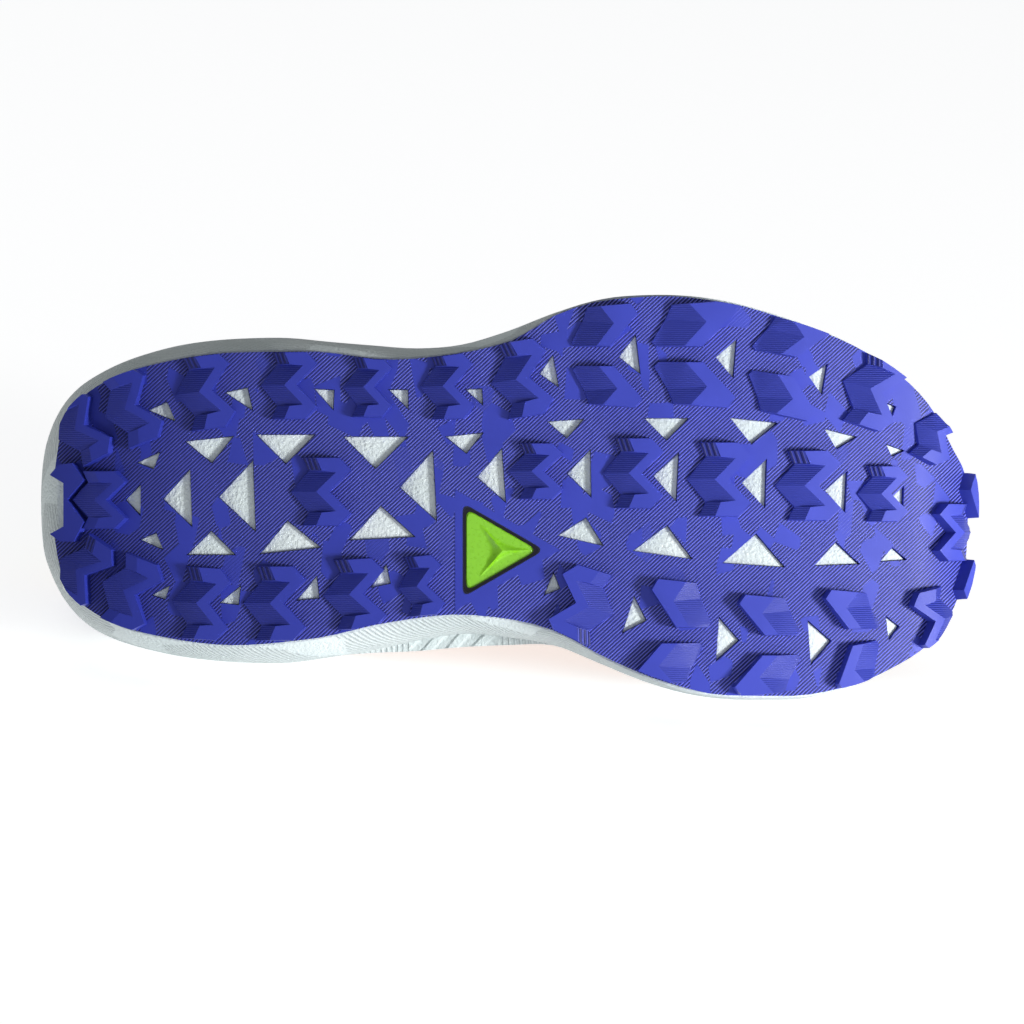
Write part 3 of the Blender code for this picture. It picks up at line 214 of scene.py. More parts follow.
# Places of the lugs: along, across, length, width, turn in degrees.
CHEVRONS = (
    (0.065, 0.01, 0.058, 0.29, 0), (0.297, -0.03, 0.066, 0.34, 0), (0.524, -0.13, 0.060, 0.28, 0),
    (0.627, -0.12, 0.065, 0.35, 0), (0.717, -0.09, 0.068, 0.37, 0), (0.811, -0.06, 0.069, 0.35, 0),
    (0.891, -0.02, 0.052, 0.28, 0),
    (0.044, -0.34, 0.052, 0.36, -28), (0.096, -0.44, 0.056, 0.38, -22),
    (0.173, -0.52, 0.063, 0.38, -8), (0.263, -0.55, 0.062, 0.34, 0), (0.346, -0.54, 0.054, 0.30, 0),
    (0.430, -0.545, 0.058, 0.33, -2), (0.508, -0.58, 0.065, 0.38, -9), (0.880, -0.53, 0.064, 0.38, 18),
    (0.948, -0.32, 0.046, 0.30, 28),
    (0.045, 0.36, 0.052, 0.36, 34), (0.095, 0.46, 0.060, 0.36, 22), (0.170, 0.515, 0.063, 0.36, 4),
    (0.248, 0.515, 0.068, 0.37, 0), (0.332, 0.47, 0.068, 0.35, -3), (0.402, 0.43, 0.050, 0.30, -6),
    (0.576, 0.525, 0.066, 0.37, 197), (0.950, 0.60, 0.048, 0.32, 165),
    (0.970, 0.17, 0.046, 0.29, 180),
)
BLADES = (
    (0.597, -0.735, 0.071, -0.216, 0), (0.600, -0.647, 0.075, 0.210, 0),
    (0.691, -0.735, 0.090, -0.230, 0), (0.692, -0.667, 0.087, 0.230, 0),
    (0.791, -0.690, 0.080, -0.200, 10), (0.787, -0.605, 0.076, 0.215, 8),
    (0.678, 0.637, 0.065, 0.245, 180), (0.664, 0.705, 0.077, -0.216, 180),
    (0.771, 0.676, 0.069, 0.206, 180), (0.769, 0.765, 0.074, -0.206, 180),
    (0.859, 0.647, 0.063, 0.200, 180), (0.862, 0.715, 0.055, -0.230, 170),
)
NUBS = (
    (0.987, -0.04, 0.018, 0.31, 180), (0.981, 0.455, 0.020, 0.31, 180),
)

# Windows in the outsole: along and across of the base's middle, base, direction it points to.
WINDOWS = (
    (0.114, -0.20, 0.55, 66), (0.128, -0.40, 0.63, -68), (0.179, -0.29, 1.01, 84),
    (0.210, -0.47, 0.69, -57), (0.260, -0.31, 1.20, 90), (0.106, 0.01, 0.66, 180),
    (0.160, 0.00, 1.18, 178), (0.227, -0.01, 1.46, 178), (0.117, 0.23, 0.55, -67),
    (0.181, 0.28, 1.00, -90), (0.127, 0.45, 0.45, 63), (0.201, 0.47, 0.57, 51),
    (0.265, 0.26, 1.25, -96),
    (0.300, -0.48, 0.59, -42), (0.355, -0.30, 1.32, 90), (0.379, -0.48, 0.58, -45),
    (0.418, -0.06, 1.44, 177), (0.449, -0.31, 0.79, 84), (0.459, -0.49, 0.50, -48),
    (0.491, -0.11, 1.11, 176), (0.362, 0.20, 1.34, -93), (0.282, 0.44, 0.67, 39),
    (0.358, 0.38, 0.59, 33),
    (0.546, -0.62, 0.69, 170), (0.633, -0.70, 0.81, 173), (0.736, -0.68, 0.80, 185),
    (0.832, -0.58, 0.66, 190), (0.899, -0.43, 0.41, -23), (0.556, -0.38, 0.76, 86),
    (0.663, -0.39, 0.92, 90), (0.756, -0.38, 0.98, 96), (0.849, -0.32, 0.70, 104),
    (0.908, -0.25, 0.42, 110),
    (0.583, -0.12, 0.98, 179), (0.675, -0.10, 1.00, 183), (0.769, -0.07, 1.00, 182),
    (0.855, -0.03, 0.86, 183), (0.917, 0.00, 0.50, 182),
    (0.572, 0.21, 0.96, -77), (0.659, 0.28, 1.22, -82), (0.756, 0.33, 1.28, -86),
    (0.845, 0.33, 0.94, -92), (0.906, 0.31, 0.56, -94), (0.538, 0.42, 0.52, 23),
    (0.622, 0.57, 0.80, 18), (0.717, 0.69, 0.90, 4), (0.815, 0.71, 0.92, -4),
    (0.899, 0.64, 0.52, -7),
)

# Notch in the rubber at the heel and the lug round it, metres.
HEEL_NOTCH = ((-0.0100, -0.0073), (0.0044, -0.0073), (0.0087, -0.0047), (0.0087, 0.0091), (0.0044, 0.0115),
              (-0.0100, 0.0115))
HEEL_LUG = ((0.0044, -0.0073), (0.0071, -0.0105), (0.0114, -0.0111), (0.0151, -0.0057), (0.0098, 0.0006),
            (0.0151, 0.0076), (0.0119, 0.0139), (0.0076, 0.0139), (0.0044, 0.0115), (0.0087, 0.0091),
            (0.0087, -0.0047))

WINDOW_CLEAR = 0.00012      # foam in the windows: gap to the rubber, depth, sink and rounding
WINDOW_FOOT = 0.0004
WINDOW_SINK = 0.0013
WINDOW_ROUND = 0.00025

BADGE_ALONG = 0.476
BADGE_ACROSS = 0.255
BADGE_CENTRE = Vector((BADGE_ALONG * SHOE_LENGTH, BADGE_ACROSS * HALF_WIDTH))
BADGE_RADIUS = 0.0152       # centre to corner
BADGE_CORNER = 0.0032       # how far from a corner its rounding starts
BADGE_RING = 0.0011         # clearance in the recess
BADGE_BED = 0.0002          # and under the plate
BADGE_SIDE = 0.0012         # height of the plate's upright edge
BADGE_CHAMFER = 0.0003
BADGE_PEAK = 0.0028
BADGE_HOLLOW = 0.0009       # sag of the pyramid's sides
PYRAMID_FOOT = ((0.0128, 0.0), (-0.0035, 0.0087), (-0.0035, -0.0085))     # from the badge's centre
PYRAMID_TOP = (0.0040, 0.0002)
PYRAMID_SINK = 0.00005      # its foot sinks into the plate
PYRAMID_STEPS = 10
RECESS_LIP = 0.0001         # the dark sheet of painted shade in the recess ends this far below the rubber's face
RECESS_GAP = 0.00005        # and this far off the rubber
RECESS_WALL = 0.00025
BADGE_HALO = (0.0034, 0.0038)   # smooth rubber round the badge: where the ribs start and are full

EYELETS = (0.655, 0.612, 0.568, 0.524, 0.480, 0.437)
EYELET_ROW = 6.35
TONGUE_TOP = ((0.007, 0.97, 0.60), (0.014, 0.93, 1.00), (0.019, 0.84, 0.90), (0.022, 0.70, 0.50))
TONGUE_WAY = (-0.62, 0.78)
TONGUE_CROWN = 0.22
TONGUE_FRONT = 0.79
TONGUE_TOP_AT = 0.43
LACE_NEAR = 0.25            # a crossing passes the throat edge this share of its way along
LACE_LAYERS = (0.0002, 0.0007)      # the two crossings of a pair lie one over the other
LACE_RISE = 0.0006
LACE_CROWN = 0.0020
LACE_DIP = 0.0002           # the lace dips this much where it turns into an eyelet
LACE_END = -0.0008          # and ends this far below the upper's face
LACE_PINCH = 0.6
EYELET_RADIUS = 0.0031      # rings of the eyelets: radius, then half the width and height of the rim
EYELET_ROUND = 0.0006
EYELET_TALL = 0.0005
EYELET_STEPS = (28, 8)      # round the ring and round its rim
TAB_ROWS = (1.4, 0.9, 0.4)  # rows below the collar that the tab is sewn to
TAB_LEAN = 0.0005

# Edges of the overlays in side view, shares of the shoe length.
TOE_CAP_TRIM = ((0.66, 0.140), (0.76, 0.166), (0.86, 0.192), (0.93, 0.214), (0.97, 0.222), (1.05, 0.225))
COUNTER_TRIM = ((-0.05, 0.262), (0.10, 0.258), (0.17, 0.235), (0.24, 0.190), (0.31, 0.150))
EYESTAY_TRIM = ((0.375, 0.45), (0.395, 0.366), (0.420, 0.340), (0.470, 0.318), (0.560, 0.284),
                (0.640, 0.262), (0.690, 0.257), (0.780, 0.262), (0.780, 0.45))
RIM_CLEAR = 0.0010

TOE_CAP_FROM = 0.66         # shares of the sole edge that the uncut layers reach
COUNTER_TO = 0.36
EYESTAY_FROM = 0.41
EYESTAY_TO = 0.84
OVERLAY_SEAT = 0.0001       # their inner face above the upper
OVERLAY_ANGLE = 35

# The upper stands out past the rubber at the lateral forefoot.
SLIVER = 0.0045
SLIVER_FROM = 0.56
SLIVER_TO = 0.99
SWELL = 0.0130
SWELL_START = 0.06          # shares of the upper's height where the swell starts, is full and ends
SWELL_FULL = 0.30
SWELL_END = 1.00
SWELL_FADE = 1.5

# Insole from its foot to the middle of its bowl: set in, share of the thickness.
INSOLE_SECTIONS = ((0.0, 0.0), (0.0, 0.7), (0.0004, 1.0), (0.0012, 1.0), (INSOLE_SLOPE, 0.76),
                   (INSOLE_SLOPE + 0.001, 0.74))

# Padded roll inside the collar.
COLLAR_TO = 0.395
COLLAR_ROWS = 2.5
COLLAR_BULGE = 0.0042
COLLAR_STEPS = 12
COLLAR_FLAT = 0.15          # share of the bulge left at its two ends
COLLAR_EMBED = 0.0003
COLLAR_BACK = 0.0004
COLLAR_TOP = 0.0010
COLLAR_RISE = 0.0011

# Stitches: place along and size of the four rings of one thread.
STITCH_SHAPE = ((-1.0, 0.25), (-0.7, 0.9), (0.7, 0.9), (1.0, 0.25))
STITCH_SIDES = 6
STITCH_PITCH = 0.0026
STITCH_REACH = 0.36         # half length as a share of the pitch
STITCH_WIDE = 0.00028
STITCH_TALL = 0.00022
STITCH_LIFT = 0.0001
COLLAR_SEAMS = (0.28, 0.50)     # rows below the collar
EYESTAY_SEAM = (0.425, 0.695, 0.22)     # from, to, rows below the throat edge

# Sizes of this file.
FINE = 4                    # fine stations and rows for each one of the source
FINE_EDGE = 72              # steps of the outsole's outline on each side
FOLDS = (0.003, 0.006, 0.0015)      # slices of the rubber at the heel, rocker and toe, before it is bent
PITCH = 0.00092             # ribs of the tread
RIB_WAY = (0.678, 0.735)    # direction square to them
RIB_PAINTED_HIGHLIGHT = -0.22             # place of the highlight painted on their crests, as a share of the pitch
PATCHES = (165.0, 115.0, 1.0)       # smooth patches in a metre, along and across their own way
RAMP_PITCH = 0.00062        # finer ribs of the lugs' ramps
STAIR_PITCH = 0.074         # steps of a lug's side ramp, as a share of its length
YARN = 0.00052              # knit of the upper
EDGE = 0.00028              # rounding of the rubber's edges
MERGE = 0.00001             # points nearer than this become one
SHEET_FACE, RAMP, PLAIN = 0.0, 2.0, 3.0     # kinds of face that the rubber's material tells apart
RAMP_AREA = 1.5e-6          # smaller slanting faces are roundings
CAMERA_AWAY = 2.4
SENSOR = 36.0               # millimetres
PHOTO_WIDTH = 1024          # pixels, and the length of the shoe in them
PHOTO_SHOE = 945
VIEW_WIDTH = PHOTO_WIDTH * SHOE_LENGTH / PHOTO_SHOE
VIEW_X = 0.1498             # middle of the photo, in the shoe's frame
VIEW_Y = 0.0045
FLOOR_HALF = 7.0

# Disk lights: name, position, target, size, power.
LIGHTS = (
    ("key", (1.30, -0.85, 0.14), (0.0, -0.03, 0.06), 0.30, 30.0),
    ("front", (0.1, -1.8, 0.7), (0.0, 0.0, 0.05), 1.4, 3.0),
    ("top", (-0.5, 0.5, 1.9), (0.0, 0.0, 0.05), 1.2, 6.0),
)
SKY = ((0.95, 0.97, 1.0, 1.0), 0.22)     # colour and strength


# The shoe's own frame.

def shoe_to_row():
    mounts = {m["name"]: m for m in frame["record"]["mounts"]}
    heel = Vector(mounts["tread_heel"]["pos_m"])
    fore = Vector(mounts["tread_forefoot"]["pos_m"])
    up = -Vector(mounts["tread_heel"]["axis"]).normalized()
    own_ahead = (TREAD_FOREFOOT - TREAD_HEEL).normalized()
    own = Matrix((own_ahead, Vector((0, 0, 1)).cross(own_ahead), (0, 0, 1))).transposed()
    ahead = fore - heel
    ahead = (ahead - up * ahead.dot(up)).normalized()
    row = Matrix((ahead, up.cross(ahead), up)).transposed()
    turn = row @ own.transposed()
    return Matrix.Translation(heel - turn @ TREAD_HEEL) @ turn.to_4x4()


TURN = shoe_to_row()


# Curves of the source.

def warp(along):
    return math.acos(1.0 - 2.0 * min(max(along, 0.0), 1.0)) / math.pi


def unwarp(value):
    return (1.0 - math.cos(math.pi * value)) / 2.0


def read(rows, column, along, place_of=warp):
    """Smooth value of a column at a share of the length, without overshoot between rows."""
    place = [place_of(row[0]) for row in rows]
    value = [row[column] for row in rows]
    step = [b - a for a, b in zip(place, place[1:])]
    slope = [(b - a) / s for a, b, s in zip(value, value[1:], step)]
    tangent = [slope[0]]
    for left, right in zip(slope, slope[1:]):
        tangent.append(0.0 if left * right <= 0.0 else 2.0 * left * right / (left + right))
    tangent.append(slope[-1])
    at = place_of(along)
    k = 0
    while k < len(step) - 1 and at > place[k + 1]:
        k += 1
    s = (at - place[k]) / step[k]
    return ((1 + 2 * s) * (1 - s) ** 2 * value[k] + s * (1 - s) ** 2 * step[k] * tangent[k]
            + s * s * (3 - 2 * s) * value[k + 1] - s * s * (1 - s) * step[k] * tangent[k + 1])


def mix(a, b, share):
    return a + (b - a) * share


def ground(x):
    """Height and slope of the outsole sheet's face at x."""
    if x < FLAT_START:
        angle = math.asin(min((FLAT_START - x) / HEEL_RADIUS, 1.0))
        return LUG_HEIGHT + HEEL_RADIUS * (1.0 - math.cos(angle)), -angle
    if x <= FLAT_END:
        return LUG_HEIGHT, 0.0
    if x <= ROCKER_END:
        angle = math.asin((x - FLAT_END) / ROCKER_RADIUS)
        return LUG_HEIGHT + ROCKER_RADIUS * (1.0 - math.cos(angle)), angle
    height = LUG_HEIGHT + ROCKER_RADIUS * (1.0 - math.cos(ROCKER_TURN))
    angle = math.asin(min(math.sin(ROCKER_TURN) + (x - ROCKER_END) / TOE_RADIUS, 1.0))
    return height + TOE_RADIUS * (math.cos(ROCKER_TURN) - math.cos(angle)), angle


def bend(x, y, depth):
    """Lay a point of the flat sole on the ground line; depth counts away from the foot."""
    height, slope = ground(x)
    return Vector((x + math.sin(slope) * depth, y, height - math.cos(slope) * depth))


STATIONS = [unwarp(i / SEGMENTS) for i in range(SEGMENTS + 1)]
RING_STATION = list(range(SEGMENTS + 1)) + list(range(SEGMENTS - 1, 0, -1))
RING_SIDE = [1] * (SEGMENTS + 1) + [-1] * (SEGMENTS - 1)
RING = len(RING_STATION)
RINGS = range(RING)


def both_sides(point_of):
    return [point_of(STATIONS[i], side) for i, side in zip(RING_STATION, RING_SIDE)]


def outsole_edge(along, side):
    half = read(OUTSOLE, 2 if side > 0 else 1, along)
    return mix(OUTSOLE_HEEL, OUTSOLE_TOE, along), half * HALF_WIDTH * side


def flare_edge(along, side):
    back = HEEL_SWELL * max(0.0, 1.0 - along / HEEL_SWELL_TO) ** 2
    return along * FLARE_TOE - back, read(FLARE, 2 if side > 0 else 1, along) * HALF_WIDTH * side


def inward(ring, distance):
    """Move a closed ring of x, y inwards along its own normals."""
    area = sum(a[0] * b[1] - b[0] * a[1] for a, b in zip(ring, ring[1:] + ring[:1]))
    if area < 0.0:
        distance = -distance
    moved = []
    for i, point in enumerate(ring):
        run = (Vector(ring[(i + 1) % len(ring)]) - Vector(ring[i - 1])).normalized()
        moved.append((point[0] - run.y * distance, point[1] + run.x * distance))
    return moved


def rim_height(i):
    return read(RIM, 1, STATIONS[i]) * SHOE_LENGTH


def arch(along):
    share = (along - ARCH_FROM) / (ARCH_TO - ARCH_FROM)
    return math.sin(math.pi * share) ** 2 if 0.0 < share < 1.0 else 0.0


FLARE_RING = both_sides(flare_edge)


def bed_ring(extra):
    return inward(FLARE_RING, BED_INSET + extra)


def bed_height(c):
    return rim_height(RING_STATION[c]) - BED_DEPTH


# Smooth surfaces through the source's points.

def spline_weights(s):
    return (-0.5 * s + s * s - 0.5 * s ** 3, 1 - 2.5 * s * s + 1.5 * s ** 3,
            0.5 * s + 2 * s * s - 1.5 * s ** 3, -0.5 * s * s + 0.5 * s ** 3)


def refine_ring(points):
    """Smooth closed ring with FINE points for each one given; works on rows of points as well."""
    points = np.asarray(points)
    around = points.shape[-2]
    out = np.zeros(points.shape[:-2] + (around * FINE, points.shape[-1]))
    for k in range(FINE):
        for shift, weight in zip((-1, 0, 1, 2), spline_weights(k / FINE)):
            out[..., k::FINE, :] += weight * np.roll(points, -shift, axis=-2)
    return out


def smooth_path(points, steps=6):
    """Smooth line through the given points."""
    path = []
    for k in range(len(points) - 1):
        four = [points[min(max(k + d, 0), len(points) - 1)] for d in (-1, 0, 1, 2)]
        for j in range(steps):
            parts = [p * w for p, w in zip(four, spline_weights(j / steps))]
            path.append(sum(parts[1:], parts[0]))
    return path + [points[-1]]


FEATHER = [Vector((p[0], p[1], bed_height(c) + SEAT)) for c, p in enumerate(bed_ring(GAP))]


def upper_point(c, row):
    along = STATIONS[RING_STATION[c]]
    foot = FEATHER[c]
    top_x, centre, half, height, rise, lean, spread, drop = (read(UPPER, k, along) for k in range(1, 9))
    top = Vector((top_x * SHOE_LENGTH, (centre + half * RING_SIDE[c]) * HALF_WIDTH, height * SHOE_LENGTH))
    out = Vector((foot.x - top.x, foot.y - top.y, 0.0))
    reach = out.length
    out = out / reach
    lift = Vector((0.0, 0.0, top.z - foot.z))
    first = foot + lift * rise + out * min(reach * lean, LEAN_LIMIT)
    second = top + out * reach * spread - lift * drop
    v = row / ROWS
    return (foot * (1 - v) ** 3 + first * 3 * v * (1 - v) ** 2
            + second * 3 * v * v * (1 - v) + top * v ** 3)


def closed_top(c):
    return c % RING != 0 and read(UPPER, 3, STATIONS[RING_STATION[c % RING]]) * HALF_WIDTH < THROAT_END


FINE_RING = RING * FINE
FINE_ROWS = ROWS * FINE


def ease(low, high, value):
    share = min(max((value - low) / (high - low), 0.0), 1.0)
    return share * share * (3.0 - 2.0 * share)


def build_surface():
    """Points and outward normals of the upper's outer face, rows by columns."""
    coarse = np.array([[upper_point(c, r / FINE) for c in RINGS] for r in range(FINE_ROWS + 1)])
    points = refine_ring(coarse)
    for c in range(FINE_RING // 2 + 1, FINE_RING):
        along = unwarp((FINE_RING - c) / (SEGMENTS * FINE))
        share = (along - SLIVER_FROM) / (SLIVER_TO - SLIVER_FROM)
        if 0.0 < share < 1.0:
            edge = SLIVER - outsole_edge(along, -1)[1]
            for r in range(FINE_ROWS + 1):
                v = r / FINE_ROWS
                push = min(max(0.0, edge + points[r, c, 1]), SWELL) * math.sin(math.pi * share) ** SWELL_FADE
                points[r, c, 1] -= (push * ease(SWELL_START, SWELL_FULL, v)
                                    * (1.0 - ease(SWELL_FULL, SWELL_END, v)))
    ahead = np.roll(points, -1, axis=1) - np.roll(points, 1, axis=1)
    up = np.zeros_like(points)
    up[1:-1] = points[2:] - points[:-2]
    up[0] = points[1] - points[0]
    up[-1] = points[-1] - points[-2]
    normal = np.cross(up, ahead)
    length = np.linalg.norm(normal, axis=2, keepdims=True)
    normal = normal / np.maximum(length, 1e-12)
    for c in range(FINE_RING):
        if ridge(c):
            other = (FINE_RING - c) % FINE_RING
            if c <= other:
                both = normal[-2, c] + normal[-2, other]
                normal[-1, c] = normal[-1, other] = both / np.linalg.norm(both)
                middle = (points[-1, c] + points[-1, other]) / 2.0
                points[-1, c] = points[-1, other] = middle
    return points, normal


def ridge(c):
    """True where the two sides of the fine upper meet."""
    low = (c % FINE_RING) // FINE
    high = -(-(c % FINE_RING) // FINE)
    return closed_top(low) and closed_top(high % RING)


SURFACE, NORMAL = build_surface()


def column_at(along, side):
    place = warp(along) * SEGMENTS * FINE
    return place if side > 0 else FINE_RING - place


def on_surface(c, row, lift=0.0):
    """Point of the upper's outer face at a fine column and a row of the source, lifted off it."""
    row = min(max(row * FINE, 0.0), FINE_ROWS - 1e-6)
    c0, r0 = int(math.floor(c)), int(row)
    s, t = c - c0, row - r0
    point = Vector((0.0, 0.0, 0.0))
    for dc, wc in ((0, 1 - s), (1, s)):
        for dr, wr in ((0, 1 - t), (1, t)):
            key = (r0 + dr, (c0 + dc) % FINE_RING)
            point += Vector(SURFACE[key] + NORMAL[key] * lift) * (wc * wr)
    return point


def normal_at(c, row):
    return (on_surface(c, row, 0.001) - on_surface(c, row)).normalized()


# Meshes.

def new_object(name, verts, faces, smooth_angle=None):
    mesh = bpy.data.meshes.new(name)
    mesh.from_pydata([tuple(v) for v in verts], [], faces)
    mesh.update()
    obj = bpy.data.objects.new(name, mesh)
    bpy.context.scene.collection.objects.link(obj)
    if smooth_angle is not None:
        smooth(obj, smooth_angle)
    return obj


def smooth(obj, angle):
    mesh = obj.data
    mesh.polygons.foreach_set("use_smooth", [True] * len(mesh.polygons))
    mesh.set_sharp_from_angle(angle=math.radians(angle))
    mesh.update()


def tidy(obj):
    bm = bmesh.new()
    bm.from_mesh(obj.data)
    bmesh.ops.remove_doubles(bm, verts=bm.verts, dist=MERGE)
    bmesh.ops.dissolve_degenerate(bm, edges=bm.edges, dist=MERGE)
    bmesh.ops.recalc_face_normals(bm, faces=bm.faces)
    bm.to_mesh(obj.data)
    bm.free()


def apply_modifiers(obj):
    graph = bpy.context.evaluated_depsgraph_get()
    mesh = bpy.data.meshes.new_from_object(obj.evaluated_get(graph))
    obj.modifiers.clear()
    obj.data = mesh


def boolean(obj, cutter, operation):
    modifier = obj.modifiers.new("cut", "BOOLEAN")
    modifier.operation = operation
    modifier.solver = "EXACT"
    modifier.use_self = True
    modifier.object = cutter
    apply_modifiers(obj)
    bpy.data.objects.remove(cutter, do_unlink=True)


def prism(points, low, high):
    count = len(points)
    verts = [(x, y, low) for x, y in points] + [(x, y, high) for x, y in points]
    faces = [tuple(reversed(range(count))), tuple(range(count, 2 * count))]
    faces += [(i, (i + 1) % count, count + (i + 1) % count, count + i) for i in range(count)]
    return verts, faces


def gather(pieces):
    verts = []
    faces = []
    for piece_verts, piece_faces in pieces:
        start = len(verts)
        verts += piece_verts
        faces += [tuple(start + i for i in face) for face in piece_faces]
    return verts, faces


def loft(loops):
    """Closed body through loops of the same length."""
    verts = [p for loop in loops for p in loop]
    count = len(loops[0])
    faces = []
    for k in range(len(loops) - 1):
        for i in range(count):
            j = (i + 1) % count
            faces.append((k * count + i, k * count + j, (k + 1) * count + j, (k + 1) * count + i))
    faces.append(tuple(reversed(range(count))))
    faces.append(tuple(range((len(loops) - 1) * count, len(loops) * count)))
    return verts, faces


def place(obj, *materials, slot, replaces=None):
    """Give a piece its materials, turn it from the shoe's frame to the row frame, put it on the body."""
    for material in materials:
        obj.data.materials.append(material)
    obj.data.transform(TURN)
    obj.data.update()
    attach(obj, "root")
    if replaces:
        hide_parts(replaces)


# Materials.

class Wire:
    """Output of a shader node that takes part in sums, as a number does."""

    def __init__(self, shader, socket):
        self.shader = shader
        self.socket = socket

    def __add__(self, other):
        return self.shader.math("ADD", self, other)

    def __sub__(self, other):
        return self.shader.math("SUBTRACT", self, other)

    def __rsub__(self, other):
        return self.shader.math("SUBTRACT", other, self)

    def __mul__(self, other):
        return self.shader.math("MULTIPLY", self, other)


class Shader:
    """A Principled material and short calls for the nodes that feed it."""

    def __init__(self, name, color, roughness, **sockets):
        self.material = bpy.data.materials.new(name)
        self.material.use_nodes = True
        self.tree = self.material.node_tree
        self.bsdf = self.tree.nodes["Principled BSDF"]
        self.bsdf.inputs["Base Color"].default_value = (*color, 1.0)
        self.bsdf.inputs["Roughness"].default_value = roughness
        for key, value in sockets.items():
            self.bsdf.inputs[key.replace("_", " ")].default_value = value

    def feed(self, socket, value):
        if isinstance(value, Wire):
            self.tree.links.new(value.socket, socket)
        elif isinstance(value, tuple) and len(socket.default_value) == 4:
            socket.default_value = (*value, 1.0)
        else:
            socket.default_value = value

    def node(self, kind, output=0, settings=(), **sockets):
        """A new node with its settings and named inputs; gives one of its outputs, or all of them."""
        node = self.tree.nodes.new("ShaderNode" + kind)
        for key, value in dict(settings).items():
            setattr(node, key, value)
        for key, value in sockets.items():
            self.feed(node.inputs[key.replace("_", " ")], value)
        if output is None:
            return [Wire(self, socket) for socket in node.outputs]
        return Wire(self, node.outputs[output])

    def math(self, operation, *values):
        node = self.tree.nodes.new("ShaderNodeMath")
        node.operation = operation
        for socket, value in zip(node.inputs, values):
            self.feed(socket, value)
        return Wire(self, node.outputs[0])

    def ramp(self, value, low, high, out_low=0.0, out_high=1.0):
        return self.node("MapRange", settings={"interpolation_type": "SMOOTHSTEP"}, Value=value,
                         From_Min=low, From_Max=high, To_Min=out_low, To_Max=out_high)

    def blend(self, share, a, b):
        node = self.tree.nodes.new("ShaderNodeMix")
        node.data_type = "RGBA"
        for k, value in ((0, share), (6, a), (7, b)):
            self.feed(node.inputs[k], value)
        return Wire(self, node.outputs[2])

    def uv(self, name):
        return self.node("UVMap", settings={"uv_map": name})

    def position(self):
        return self.node("TexCoord", "Object")

    def split(self, vector):
        return self.node("SeparateXYZ", None, Vector=vector)

    def mapping(self, vector, scale, turn=0.0):
        return self.node("Mapping", Vector=vector, Scale=Vector(scale), Rotation=Vector((0.0, 0.0, turn)))

    def attribute(self, name):
        return self.node("Attribute", "Fac", {"attribute_name": name})

    def noise(self, vector, scale, detail=2.0, rough=0.5):
        return self.node("TexNoise", Vector=vector, Scale=scale, Detail=detail, Roughness=rough)

    def cells(self, vector, output="Distance", randomness=1.0):
        return self.node("TexVoronoi", output, Vector=vector, Scale=1.0, Randomness=randomness)

    def stripes(self, value, pitch):
        """Nought to one and back each pitch of a coordinate in metres."""
        return self.math("SINE", value * (2.0 * math.pi / pitch)) * 0.5 + 0.5

    def bump(self, height, distance, strength=1.0):
        normal = self.node("Bump", Height=height, Distance=distance, Strength=strength)
        self.feed(self.bsdf.inputs["Normal"], normal)

    def color(self, value):
        self.feed(self.bsdf.inputs["Base Color"], value)

    def rough(self, value):
        self.feed(self.bsdf.inputs["Roughness"], value)


